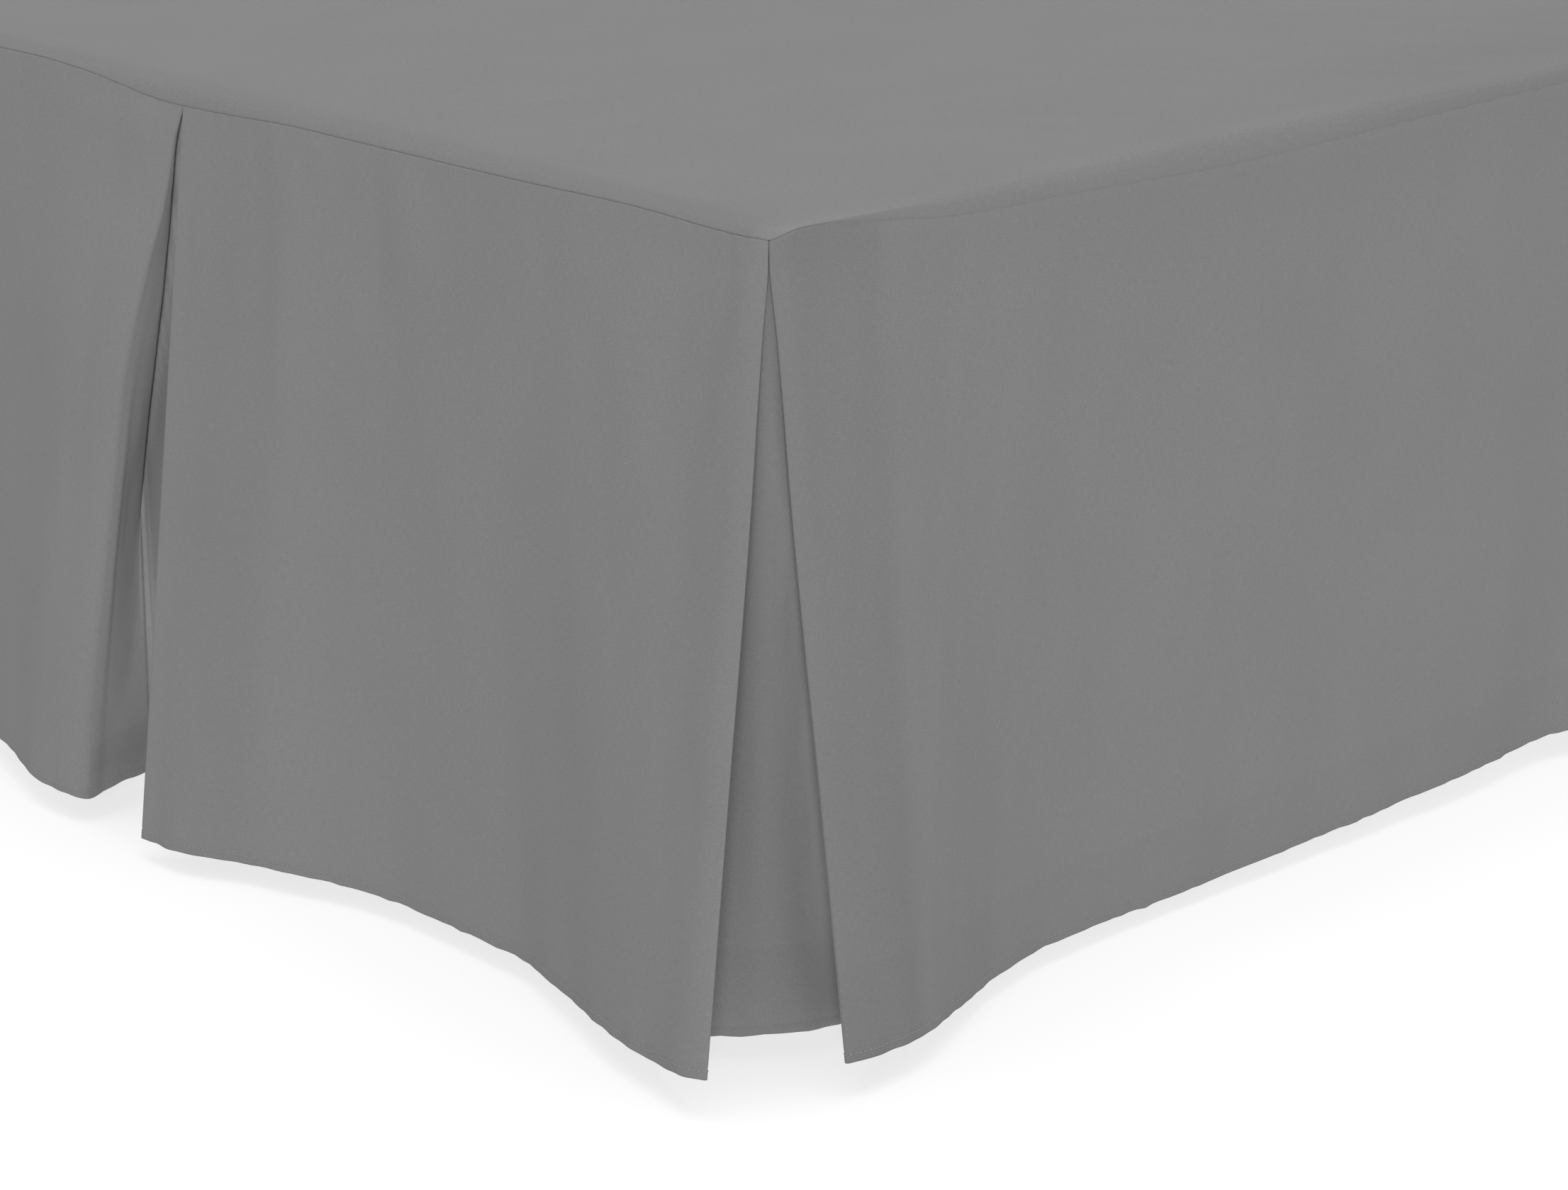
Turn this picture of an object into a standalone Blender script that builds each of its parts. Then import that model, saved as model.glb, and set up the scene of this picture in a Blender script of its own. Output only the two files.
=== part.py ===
"""Box-pleated bed skirt fitted on the plain base of a single bed.

Frame: +X is the bed's right side, -Y its foot end, +Z up. The origin lies on the floor, under the
middle of the whole part. Driving dimensions are in metres, tables in millimetres.

The skirt is a row of cloth along three sides of the bed. At a pleat the cloth folds back behind its
panel, crosses behind the mouth of the pleat and folds forward into the next panel. The three layers
are pressed flat together at the seam and swing open towards the hem.
"""
import math

import bmesh
import bpy
import numpy as np
from mathutils import Vector

MM = 0.001
PART_NAME = "bed_skirt_on_bed_base"

# Bed base and glides
BED_WIDTH = 0.900
BED_LENGTH = 1.900
BASE_HEIGHT = 0.368
BASE_EDGE_RADIUS = 0.009
BASE_EDGE_STEPS = 3
GLIDE_HEIGHT = 0.052
GLIDE_TOP_RADIUS = 0.032
GLIDE_FLOOR_RADIUS = 0.026
GLIDE_SIDE_INSET = 0.060
GLIDE_END_INSET = 0.110
GLIDE_FACETS = 24
SHARP_ANGLE = math.radians(30)

# Cloth
CLOTH_THICKNESS = 0.0010
PART_GAP = 0.0003
EDGE_CLEARANCE = 0.0020
DROP = 0.403
PLEAT_DEPTH = 0.058
PLEAT_MOUTH = 0.0020
LAYER_PITCH = 0.0016
HEM_FOLD_RUN = 0.006

BASE_TOP = GLIDE_HEIGHT + BASE_HEIGHT
SEAM_OUT = EDGE_CLEARANCE + CLOTH_THICKNESS / 2 + 2 * LAYER_PITCH
SEAM_RADIUS = BASE_EDGE_RADIUS + SEAM_OUT
SEAM_X = BED_WIDTH / 2 + SEAM_OUT
SEAM_Y = -BED_LENGTH / 2 - SEAM_OUT
HEAD_Y = BED_LENGTH / 2
PLATFORM_HEAD_Y = HEAD_Y - 0.001

# Hem of each length of skirt, seen from above. Columns: kind of point, distance along the side, and
# how far it lies outside the seam line. Along the foot the distance is x; along a side it runs from
# the foot corner. A leg of cloth runs from one fold or crease to the next.
FOOT_HEM = (
    ("end", -466, -56), ("back", -463, -41), ("back", -459, -22), ("back", -449, -4),
    ("back", -441, 4), ("back", -430, 14), ("crease", -407, 31), ("fold", -474, 61),
    ("panel", -461, 62), ("panel", -440, 59), ("panel", -410, 52), ("panel", -378, 42),
    ("panel", -341, 29), ("panel", -310, 21), ("panel", -280, 17), ("panel", -240, 16),
    ("panel", -205, 20), ("panel", -165, 32), ("panel", -138, 41), ("panel", -106, 51),
    ("panel", -86, 54), ("panel", -68, 55), ("fold", -50, 50), ("return", -59, 31),
    ("return", -67, 11), ("crease", -71, -1), ("back", -40, -2), ("back", 0, -2),
    ("crease", 44, 0), ("return", 35, 30), ("fold", 15, 60), ("panel", 30, 59),
    ("panel", 50, 58), ("panel", 80, 47), ("panel", 113, 34), ("panel", 147, 22),
    ("panel", 187, 15), ("panel", 234, 15), ("panel", 281, 16), ("panel", 312, 23),
    ("panel", 343, 33), ("panel", 380, 47), ("panel", 412, 56), ("panel", 441, 61),
    ("panel", 466, 65), ("fold", 483, 62), ("crease", 408, 30), ("back", 431, 13),
    ("back", 441, 3), ("back", 449, -4), ("back", 459, -23), ("back", 464, -42), ("end", 466, -57),
)
RIGHT_HEM = (
    ("end", 63, 14), ("fold", 2, 53), ("panel", 20, 55), ("panel", 40, 55),
    ("panel", 63, 50), ("panel", 93, 39), ("panel", 128, 24), ("panel", 148, 16),
    ("panel", 173, 10), ("panel", 200, 6), ("panel", 245, 4), ("panel", 337, 3),
    ("panel", 435, 3), ("panel", 545, 2), ("panel", 605, 0), ("panel", 640, -2),
    ("panel", 662, 3), ("panel", 700, 16), ("panel", 760, 30), ("panel", 850, 44),
    ("panel", 905, 51), ("fold", 928, 50), ("return", 920, 30), ("return", 914, 12),
    ("crease", 910, 1), ("back", 946, 0), ("back", 990, 1), ("crease", 1024, 3),
    ("return", 1012, 28), ("fold", 994, 53), ("panel", 1012, 54), ("panel", 1045, 47),
    ("panel", 1090, 33), ("panel", 1150, 18), ("panel", 1230, 8), ("panel", 1350, 5),
    ("panel", 1480, 8), ("panel", 1600, 5), ("panel", 1720, 9), ("panel", 1820, 6), ("end", 1905, 8),
)
LEFT_HEM = (
    ("end", 62, 15), ("fold", 8, 48), ("panel", 20, 52), ("panel", 42, 50),
    ("panel", 70, 42), ("panel", 104, 30), ("panel", 140, 18), ("panel", 180, 10),
    ("panel", 240, 6), ("panel", 330, 5), ("panel", 430, 8), ("panel", 530, 5),
    ("panel", 630, 7), ("panel", 700, 15), ("panel", 770, 28), ("panel", 850, 42),
    ("panel", 898, 50), ("fold", 922, 49), ("return", 916, 28), ("return", 908, 11),
    ("crease", 905, 2), ("back", 944, 1), ("back", 984, 0), ("crease", 1020, 2),
    ("return", 1008, 30), ("fold", 992, 55), ("panel", 1010, 56), ("panel", 1048, 46),
    ("panel", 1098, 30), ("panel", 1160, 15), ("panel", 1240, 7), ("panel", 1360, 9),
    ("panel", 1490, 5), ("panel", 1610, 9), ("panel", 1730, 5), ("panel", 1830, 8), ("end", 1905, 6),
)

# How far the seam is pulled down below the top of the base. Columns: distance as above, dip.
FOOT_SEAM = (
    (-456, 1), (-410, 3), (-350, 2), (-270, 3.5), (-190, 1.5), (-138, 0.6), (-111, 1.2), (-84, 2.5),
    (-58, 5), (-32, 7.7), (-5, 8.5), (40, 7.3), (90, 5), (137, 4.6), (272, 3.8), (355, 2.2),
    (415, 3.2), (456, 1),
)
SIDE_SEAM = (
    (0, 1), (52, 2.2), (92, 2.4), (130, 4.3), (228, 6), (320, 8.5), (450, 6.5), (614, 3.4), (780, 4),
    (955, 7.5), (1150, 4), (1500, 5.5), (1906, 3),
)

# How far the sides hang short of the drop. Columns: distance as above, shortfall.
SIDE_SHORTFALL = (
    (100, 0), (190, 1.2), (250, 2), (337, 3), (450, 2.3), (545, 3), (640, 3.6), (1906, 2),
)

# Section of the platform cloth from its flat middle out to the seam. Columns: inset from the seam,
# height over the base, share of the seam's dip.
PLATFORM_SECTION = (
    (150, 0.8, 0.0), (60, 0.8, 0.0), (26, 1.8, 0.0), (14, 2.5, 0.0), (8, 2.5, 0.12),
    (4, 2.1, 0.38), (1.5, 1.4, 0.72), (0, 0.7, 1.0),
)
PLATFORM_STEP = 0.031
PLATFORM_LONG_STEP = 0.050
PLATFORM_CORNER_STEPS = 4

# Rows of cloth as shares of the drop, and how quickly a panel swings out below the seam
DROP_ROWS = (0.0, 0.05, 0.17, 0.37, 0.60, 0.82, 1.0)
EVEN_SWING = 1.0
EARLY_SWING = 0.8
PANEL_STEP = 0.030
RETURN_STEP = 0.015
FOLD_STEPS = 4
FOLD_CROWDING = 0.10
MARK_ROOM = 0.004


class Path:
    """A line seen from above, looked up by the distance along it."""

    def __init__(self, points):
        self.points = np.array(points, dtype=float)
        steps = np.linalg.norm(np.diff(self.points, axis=0), axis=1)
        self.marks = np.concatenate([[0.0], np.cumsum(steps)])
        self.length = self.marks[-1]

    def on_line(self, distance):
        """The point at a distance along the line, which runs on straight past its ends."""
        inside = min(max(distance, 0.0), self.length)
        point = np.array([np.interp(inside, self.marks, self.points[:, axis]) for axis in (0, 1)])
        if inside != distance:
            last, other = (-1, -2) if distance > inside else (0, 1)
            way = self.points[last] - self.points[other]
            point += way / np.linalg.norm(way) * abs(distance - inside)
        return point

    def beside(self, distance, inward, reach=0.002):
        """The point at a distance along the line and off it towards the bed, at right angles."""
        way = self.on_line(distance + reach) - self.on_line(distance - reach)
        way /= np.linalg.norm(way)
        return self.on_line(distance) + inward * np.array([-way[1], way[0]])


def smooth_line(rows, steps=8):
    """Points along a Catmull-Rom curve through the rows."""
    knots = np.array([rows[0], *rows, rows[-1]], dtype=float)
    line = []
    for before, start, end, after in zip(knots, knots[1:], knots[2:], knots[3:]):
        for step in range(steps):
            t = step / steps
            cubic = 3 * (start - end) + after - before
            square = 2 * before - 5 * start + 4 * end - after
            line.append(start + 0.5 * t * (end - before + t * (square + t * cubic)))
    line.append(knots[-1])
    return np.array(line)


def arc(centre, radius, first_angle, turn, steps):
    """Points round an arc, anticlockwise."""
    angles = [first_angle + turn * step / steps for step in range(steps + 1)]
    return [np.array(centre) + radius * np.array([math.cos(a), math.sin(a)]) for a in angles]


def seam_path():
    """The seam round the bed: down the left side, along the foot, up the right side."""
    centre_x = SEAM_X - SEAM_RADIUS
    centre_y = SEAM_Y + SEAM_RADIUS
    quarter = math.pi / 2
    return Path([
        (-SEAM_X, HEAD_Y),
        *arc((-centre_x, centre_y), SEAM_RADIUS, math.pi, quarter, 8),
        *arc((centre_x, centre_y), SEAM_RADIUS, -quarter, quarter, 8),
        (SEAM_X, HEAD_Y),
    ])


SEAM = seam_path()
FOOT_MIDDLE = SEAM.length / 2
CORNER_FROM_HEAD = HEAD_Y - SEAM_Y - SEAM_RADIUS + math.pi / 4 * SEAM_RADIUS
LEFT_CORNER = CORNER_FROM_HEAD
RIGHT_CORNER = SEAM.length - CORNER_FROM_HEAD
LEFT_MIDDLE = HEAD_Y
RIGHT_MIDDLE = SEAM.length - HEAD_Y

# Places round each corner where a thread always hangs, so that the layers bend together
CORNER_MARKS = [
    corner + share * math.pi / 4 * SEAM_RADIUS
    for corner in (LEFT_CORNER, RIGHT_CORNER) for share in (-1, -0.5, 0, 0.5, 1)
]

FOOT_DIPS = smooth_line(FOOT_SEAM) * MM
SIDE_DIPS = smooth_line(SIDE_SEAM) * MM
SHORTFALLS = np.array(SIDE_SHORTFALL) * MM


def foot_place(along, out):
    return along * MM, SEAM_Y - out * MM


def right_place(along, out):
    return SEAM_X + out * MM, SEAM_Y + along * MM


def left_place(along, out):
    return -SEAM_X - out * MM, SEAM_Y + along * MM


def seam_height(point):
    """Height of the seam at a point seen from above."""
    if point[1] < SEAM_Y + SEAM_RADIUS:
        return BASE_TOP - np.interp(point[0], FOOT_DIPS[:, 0], FOOT_DIPS[:, 1])
    return BASE_TOP - np.interp(point[1] - SEAM_Y, SIDE_DIPS[:, 0], SIDE_DIPS[:, 1])


def cloth_length(hem):
    """Length of a thread from the seam to its point on the hem, seen from above."""
    return DROP - np.interp(hem[1] - SEAM_Y, SHORTFALLS[:, 0], SHORTFALLS[:, 1])


def hem_legs(rows, place):
    """The hem's legs between one fold or crease and the next, as paths."""
    breaks = [at for at, row in enumerate(rows) if row[0] in ("fold", "crease", "end")]
    legs = []
    for first, last in zip(breaks, breaks[1:]):
        points = [place(along, out) for _, along, out in rows[first:last + 1]]
        legs.append(Path(smooth_line(points)))
    return legs


class Leg:
    """A stretch of cloth between two folds: its run along the seam, its layer, and its hem."""

    def __init__(self, start, end, layer, hem, swing=EVEN_SWING):
        self.start = start
        self.end = end
        self.layer = layer
        self.hem = hem
        self.swing = swing

    def direction(self):
        return 1.0 if self.end > self.start else -1.0

    def thread(self, from_start, hem_from_start):
        """Seam and hem points of a thread, each by its distance from the leg's start."""
        run = self.start + self.direction() * from_start
        return SEAM.beside(run, self.layer * LAYER_PITCH), self.hem.on_line(hem_from_start), self.swing

    def length(self):
        return abs(self.end - self.start)

    def shares(self, seam_from, seam_to):
        """Where the leg's threads hang, as shares of its run, closer together near its folds."""
        count = max(3, round(self.length() / (RETURN_STEP if self.layer else PANEL_STEP)))
        evenly = [at / count for at in range(count + 1)]
        shares = [share - FOLD_CROWDING * math.sin(2 * math.pi * share) for share in evenly]
        run = seam_to - seam_from
        corners = [((mark - self.start) * self.direction() - seam_from) / run for mark in CORNER_MARKS]
        corners = [share for share in corners if 0.0 < share < 1.0]
        kept = [
            share for share in shares
            if share in (0.0, 1.0) or all(abs(share - mark) * run > MARK_ROOM for mark in corners)
        ]
        return sorted(kept + [mark for mark in corners if MARK_ROOM / 2 < mark * run < run - MARK_ROOM / 2])

    def middle_threads(self, folded_start, folded_end):
        """Threads between the leg's two folds, which have threads of their own."""
        radius = LAYER_PITCH / 2
        seam_from = radius if folded_start else 0.0
        seam_to = self.length() - (radius if folded_end else 0.0)
        hem_from = HEM_FOLD_RUN if folded_start else 0.0
        hem_to = self.hem.length - (HEM_FOLD_RUN if folded_end else 0.0)
        shares = self.shares(seam_from, seam_to)
        shares = shares[1 if folded_start else 0:-1 if folded_end else None]
        return [
            self.thread(seam_from + (seam_to - seam_from) * share, hem_from + (hem_to - hem_from) * share)
            for share in shares
        ]

    def fold_threads(self, following):
        """Threads round the fold into the next leg: a half turn at the seam, a soft bend at the hem."""
        radius = LAYER_PITCH / 2
        before = self.hem.on_line(self.hem.length - HEM_FOLD_RUN)
        tip = self.hem.points[-1]
        after = following.hem.on_line(HEM_FOLD_RUN)
        threads = []
        for step in range(FOLD_STEPS + 1):
            share = step / FOLD_STEPS
            angle = math.pi * share
            run = self.end - self.direction() * radius * (1 - math.sin(angle))
            layer = self.layer + (following.layer - self.layer) * (1 - math.cos(angle)) / 2
            bend = (1 - share) ** 2 * before + 2 * share * (1 - share) * tip + share ** 2 * after
            swing = self.swing + (following.swing - self.swing) * share
            threads.append((SEAM.beside(run, layer * LAYER_PITCH), bend, swing))
        return threads


def strip_threads(legs):
    """Every thread of a length of skirt, from its first leg to its last."""
    threads = []
    for at, leg in enumerate(legs):
        last = at == len(legs) - 1
        threads += leg.middle_threads(folded_start=at > 0, folded_end=not last)
        if not last:
            threads += leg.fold_threads(legs[at + 1])
    return threads


def foot_strip():
    """Both foot panels, the pleat between them and the back layers that go round the corners."""
    hems = hem_legs(FOOT_HEM, foot_place)
    half = PLEAT_MOUTH / 2
    join = PLEAT_DEPTH - LAYER_PITCH
    left_fold = LEFT_CORNER + half
    right_fold = RIGHT_CORNER - half
    before = FOOT_MIDDLE - half
    after = FOOT_MIDDLE + half
    return [
        Leg(LEFT_CORNER - join, left_fold + PLEAT_DEPTH, 2, hems[0]),
        Leg(left_fold + PLEAT_DEPTH, left_fold, 1, hems[1]),
        Leg(left_fold, before, 0, hems[2], EARLY_SWING),
        Leg(before, before - PLEAT_DEPTH, 1, hems[3], EARLY_SWING),
        Leg(before - PLEAT_DEPTH, after + PLEAT_DEPTH, 2, hems[4]),
        Leg(after + PLEAT_DEPTH, after, 1, hems[5]),
        Leg(after, right_fold, 0, hems[6]),
        Leg(right_fold, right_fold - PLEAT_DEPTH, 1, hems[7]),
        Leg(right_fold - PLEAT_DEPTH, RIGHT_CORNER + join, 2, hems[8]),
    ]


def side_strip(rows, place, corner, middle, head, turn):
    """A side's two panels and the pleat between them, from the crease hidden in the corner pleat."""
    hems = hem_legs(rows, place)
    half = turn * PLEAT_MOUTH / 2
    deep = turn * PLEAT_DEPTH
    return [
        Leg(corner + half + deep, corner + half, 1, hems[0]),
        Leg(corner + half, middle - half, 0, hems[1]),
        Leg(middle - half, middle - half - deep, 1, hems[2]),
        Leg(middle - half - deep, middle + half + deep, 2, hems[3]),
        Leg(middle + half + deep, middle + half, 1, hems[4]),
        Leg(middle + half, head, 0, hems[5]),
    ]


def material(name, colour, roughness):
    made = bpy.data.materials.new(name)
    made.use_nodes = True
    shader = made.node_tree.nodes["Principled BSDF"]
    shader.inputs["Base Color"].default_value = (*colour, 1.0)
    shader.inputs["Roughness"].default_value = roughness
    shader.inputs["Metallic"].default_value = 0.0
    return made


def skirt_cloth():
    return material("skirt_cloth", (0.21, 0.21, 0.21), 0.92)


def base_cover():
    return material("base_cover", (0.45, 0.44, 0.42), 0.90)


def glide_plastic():
    return material("glide_plastic", (0.02, 0.02, 0.02), 0.45)


def add_object(name, mesh, look, collection):
    thing = bpy.data.objects.new(name, mesh)
    thing.data.materials.append(look)
    collection.objects.link(thing)
    return thing


def add_cloth(name, surface, look, collection):
    """An open cloth surface, thickened half to each side."""
    mesh = bpy.data.meshes.new(name)
    surface.normal_update()
    surface.to_mesh(mesh)
    surface.free()
    thing = add_object(name, mesh, look, collection)
    solidify = thing.modifiers.new("thickness", "SOLIDIFY")
    solidify.thickness = CLOTH_THICKNESS
    solidify.offset = 0.0
    solidify.use_even_offset = True
    solidify.use_quality_normals = True


def thread_point(thread, down):
    """The point of a hanging thread at a share of the drop below its seam."""
    seam, hem, swing = thread
    reach = hem - seam
    hang = math.sqrt(cloth_length(hem) ** 2 - reach @ reach)
    plan = seam + reach * down ** swing
    top = seam_height(seam) - PART_GAP - CLOTH_THICKNESS / 2
    return plan[0], plan[1], top - hang * down


def add_strip(name, threads, look, collection):
    """A length of skirt: threads side by side, rows of cloth one below another."""
    surface = bmesh.new()
    rows = [[surface.verts.new(thread_point(thread, down)) for thread in threads] for down in DROP_ROWS]
    for upper, lower in zip(rows, rows[1:]):
        for at in range(1, len(upper)):
            surface.faces.new((upper[at - 1], lower[at - 1], lower[at], upper[at]))
    add_cloth(name, surface, look, collection)


def add_skirt(look, collection):
    """The three lengths of skirt: along the foot and along each side."""
    add_strip("skirt_foot", strip_threads(foot_strip()), look, collection)
    right = side_strip(RIGHT_HEM, right_place, RIGHT_CORNER, RIGHT_MIDDLE, SEAM.length, 1)
    add_strip("skirt_right", strip_threads(right), look, collection)
    left = side_strip(LEFT_HEM, left_place, LEFT_CORNER, LEFT_MIDDLE, 0.0, -1)
    add_strip("skirt_left", strip_threads(left)[::-1], look, collection)


def platform_ring(inset):
    """A rounded rectangle inside the seam, anticlockwise from the left end of the foot."""
    radius = SEAM_RADIUS
    low = np.array([-SEAM_X + inset + radius, SEAM_Y + inset + radius])
    high = np.array([SEAM_X - inset - radius, PLATFORM_HEAD_Y - inset - radius])
    centres = ((low[0], low[1]), (high[0], low[1]), (high[0], high[1]), (low[0], high[1]))
    across = round(BED_WIDTH / PLATFORM_STEP)
    along = round(BED_LENGTH / PLATFORM_LONG_STEP)
    corners = [
        arc(centre, radius, math.pi + quarter * math.pi / 2, math.pi / 2, PLATFORM_CORNER_STEPS)
        for quarter, centre in enumerate(centres)
    ]
    ring = []
    for at, corner in enumerate(corners):
        ring += corner
        start = corner[-1]
        end = corners[(at + 1) % 4][0]
        count = along if at % 2 else across
        ring += [start + (end - start) * step / count for step in range(1, count)]
    return ring


def head_share(point):
    """0 where the platform hangs from its seam, 1 at the head, where it lies flat on the base."""
    return min(max((point[1] - PLATFORM_HEAD_Y + SEAM_RADIUS) / SEAM_RADIUS, 0.0), 1.0)


def add_platform(look, collection):
    """The platform cloth: flat in the middle, rolled over the base's edges to the seam."""
    surface = bmesh.new()
    edge = platform_ring(0.0)
    rings = []
    for inset, height, dip_share in PLATFORM_SECTION:
        ring = []
        for point, edge_point in zip(platform_ring(inset * MM), edge):
            dip = (BASE_TOP - seam_height(edge_point)) * (1 - head_share(edge_point))
            ring.append(surface.verts.new((*point, BASE_TOP + height * MM - dip * dip_share)))
        rings.append(ring)
    surface.faces.new(rings[0])
    for inner, outer in zip(rings, rings[1:]):
        for at in range(len(inner)):
            surface.faces.new((inner[at - 1], outer[at - 1], outer[at], inner[at]))
    add_cloth("platform_cloth", surface, look, collection)


def add_base(look, collection):
    """The plain bed base, a box with rounded edges."""
    shape = bmesh.new()
    bmesh.ops.create_cube(shape, size=1.0)
    bmesh.ops.scale(shape, vec=(BED_WIDTH, BED_LENGTH, BASE_HEIGHT), verts=shape.verts)
    bmesh.ops.translate(shape, vec=(0.0, 0.0, GLIDE_HEIGHT + BASE_HEIGHT / 2), verts=shape.verts)
    mesh = bpy.data.meshes.new("bed_base")
    shape.to_mesh(mesh)
    shape.free()
    bevel = add_object("bed_base", mesh, look, collection).modifiers.new("rounded_edges", "BEVEL")
    bevel.width = BASE_EDGE_RADIUS
    bevel.segments = BASE_EDGE_STEPS


def add_glides(look, collection):
    """Six round glides under the base, three along each side."""
    shape = bmesh.new()
    height = GLIDE_HEIGHT - PART_GAP
    bmesh.ops.create_cone(
        shape, cap_ends=True, segments=GLIDE_FACETS,
        radius1=GLIDE_FLOOR_RADIUS, radius2=GLIDE_TOP_RADIUS, depth=height,
    )
    bmesh.ops.translate(shape, vec=(0.0, 0.0, height / 2), verts=shape.verts)
    mesh = bpy.data.meshes.new("glide")
    shape.to_mesh(mesh)
    shape.free()
    mesh.shade_smooth()
    mesh.set_sharp_from_angle(angle=SHARP_ANGLE)
    side = BED_WIDTH / 2 - GLIDE_SIDE_INSET
    end = BED_LENGTH / 2 - GLIDE_END_INSET
    for side_name, x in (("left", -side), ("right", side)):
        for place_name, y in (("foot", -end), ("middle", 0.0), ("head", end)):
            glide = add_object(f"glide_{side_name}_{place_name}", mesh, look, collection)
            glide.location = (x, y, 0.0)


def centre_part(collection):
    """Shift every piece so that the origin lies on the floor, under the middle of the whole part."""
    bpy.context.view_layer.update()
    graph = bpy.context.evaluated_depsgraph_get()
    corners = np.array([
        thing.matrix_world @ Vector(corner)
        for thing in collection.objects for corner in thing.evaluated_get(graph).bound_box
    ])
    middle = (corners.min(axis=0) + corners.max(axis=0)) / 2
    for thing in collection.objects:
        thing.location.x -= middle[0]
        thing.location.y -= middle[1]


def main():
    for thing in list(bpy.data.objects):
        bpy.data.objects.remove(thing, do_unlink=True)
    collection = bpy.data.collections.new(PART_NAME)
    bpy.context.scene.collection.children.link(collection)
    cloth = skirt_cloth()
    add_base(base_cover(), collection)
    add_glides(glide_plastic(), collection)
    add_platform(cloth, collection)
    add_skirt(cloth, collection)
    centre_part(collection)
    bpy.context.view_layer.update()


main()
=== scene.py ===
import math

import bpy
import numpy as np
from mathutils import Matrix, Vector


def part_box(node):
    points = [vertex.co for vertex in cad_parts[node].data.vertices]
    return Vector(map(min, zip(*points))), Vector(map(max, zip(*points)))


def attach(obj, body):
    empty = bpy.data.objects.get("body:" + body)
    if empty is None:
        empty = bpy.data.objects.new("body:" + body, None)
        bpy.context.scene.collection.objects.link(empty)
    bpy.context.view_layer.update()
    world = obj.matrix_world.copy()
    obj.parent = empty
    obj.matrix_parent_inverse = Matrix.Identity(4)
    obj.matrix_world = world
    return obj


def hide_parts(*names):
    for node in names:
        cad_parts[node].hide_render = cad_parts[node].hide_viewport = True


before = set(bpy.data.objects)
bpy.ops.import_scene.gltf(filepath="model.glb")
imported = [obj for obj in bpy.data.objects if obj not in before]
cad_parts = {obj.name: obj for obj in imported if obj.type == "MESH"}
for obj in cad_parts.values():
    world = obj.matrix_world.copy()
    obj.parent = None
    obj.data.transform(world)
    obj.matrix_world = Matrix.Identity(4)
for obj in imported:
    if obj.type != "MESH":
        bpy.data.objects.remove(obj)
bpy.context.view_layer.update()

# The bed skirt's cloth, in metres unless a table says mm. Everything is worked out round the middle
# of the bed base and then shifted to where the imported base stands.
MM = 0.001
BASE_LOW, BASE_HIGH = (np.array(corner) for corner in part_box("bed_base"))
CENTRE = (BASE_LOW + BASE_HIGH) / 2 * np.array([1.0, 1.0, 0.0])
BASE_TOP = BASE_HIGH[2]

BED_WIDTH = 0.900
BED_LENGTH = 1.900
BASE_EDGE_RADIUS = 0.009
SOLID_THICKNESS = 0.0010
CLOTH_THICKNESS = 0.0005
HEM_THICKNESS = 0.0013
HEM_WIDTH = 0.0050
PROUD = (SOLID_THICKNESS - CLOTH_THICKNESS) / 2
PART_GAP = 0.0003
EDGE_CLEARANCE = 0.0020
DROP = 0.403
PLEAT_DEPTH = 0.058
PLEAT_MOUTH = 0.0008
SOLID_PITCH = 0.0016
LAYER_PITCH = 0.0009
HEM_FOLD_RUN = 0.006

SEAM_OUT = EDGE_CLEARANCE + SOLID_THICKNESS / 2 + 2 * SOLID_PITCH
SEAM_RADIUS = BASE_EDGE_RADIUS + SEAM_OUT
SEAM_X = BED_WIDTH / 2 + SEAM_OUT
SEAM_Y = -BED_LENGTH / 2 - SEAM_OUT
HEAD_Y = BED_LENGTH / 2
PLATFORM_HEAD_Y = HEAD_Y - 0.001

# Flat sizes that the pieces are cut to
FOOT_FLAT = (1.482, 0.403)
SIDE_FLAT = (2.192, 0.403)

# Hem of each length of skirt, seen from above, as legs from one fold or crease to the next. Columns:
# distance along the side, and how far it lies outside the seam line (mm).
FOOT_HEM = (
    ((-466, -56), (-463, -41), (-459, -22), (-449, -4), (-441, 4), (-430, 14), (-407, 31)),
    ((-407, 31), (-474, 61)),
    ((-474, 61), (-461, 62), (-440, 59), (-410, 52), (-378, 42), (-341, 29), (-310, 21), (-280, 17),
     (-240, 16), (-205, 20), (-165, 32), (-138, 41), (-106, 51), (-86, 54), (-68, 55), (-47, 52)),
    ((-47, 52), (-49.5, 34.6), (-49, 16), (-48, -1)),
    ((-48, -1), (-24, -3), (4, -2), (44, 0)),
    ((44, 0), (35, 30), (15, 60)),
    ((15, 60), (30, 59), (50, 58), (80, 47), (113, 34), (147, 22), (187, 15), (234, 15), (281, 16),
     (312, 23), (343, 33), (380, 47), (412, 56), (441, 61), (466, 65), (483, 62)),
    ((483, 62), (408, 30)),
    ((408, 30), (431, 13), (441, 3), (449, -4), (459, -23), (464, -42), (466, -57)),
)
RIGHT_HEM = (
    ((63, 14), (2, 53)),
    ((2, 53), (20, 55), (40, 55), (63, 50), (93, 39), (128, 24), (148, 16), (173, 10), (200, 6),
     (245, 4), (337, 3), (435, 3), (545, 2), (605, 0), (640, -2), (662, 3), (700, 16), (760, 30),
     (850, 44), (905, 51), (928, 50)),
    ((928, 50), (920, 30), (914, 12), (910, 1)),
    ((910, 1), (946, 0), (990, 1), (1024, 3)),
    ((1024, 3), (1012, 28), (994, 53)),
    ((994, 53), (1012, 54), (1045, 47), (1090, 33), (1150, 18), (1230, 8), (1350, 5), (1480, 8),
     (1600, 5), (1720, 9), (1820, 6), (1905, 8)),
)
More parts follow.
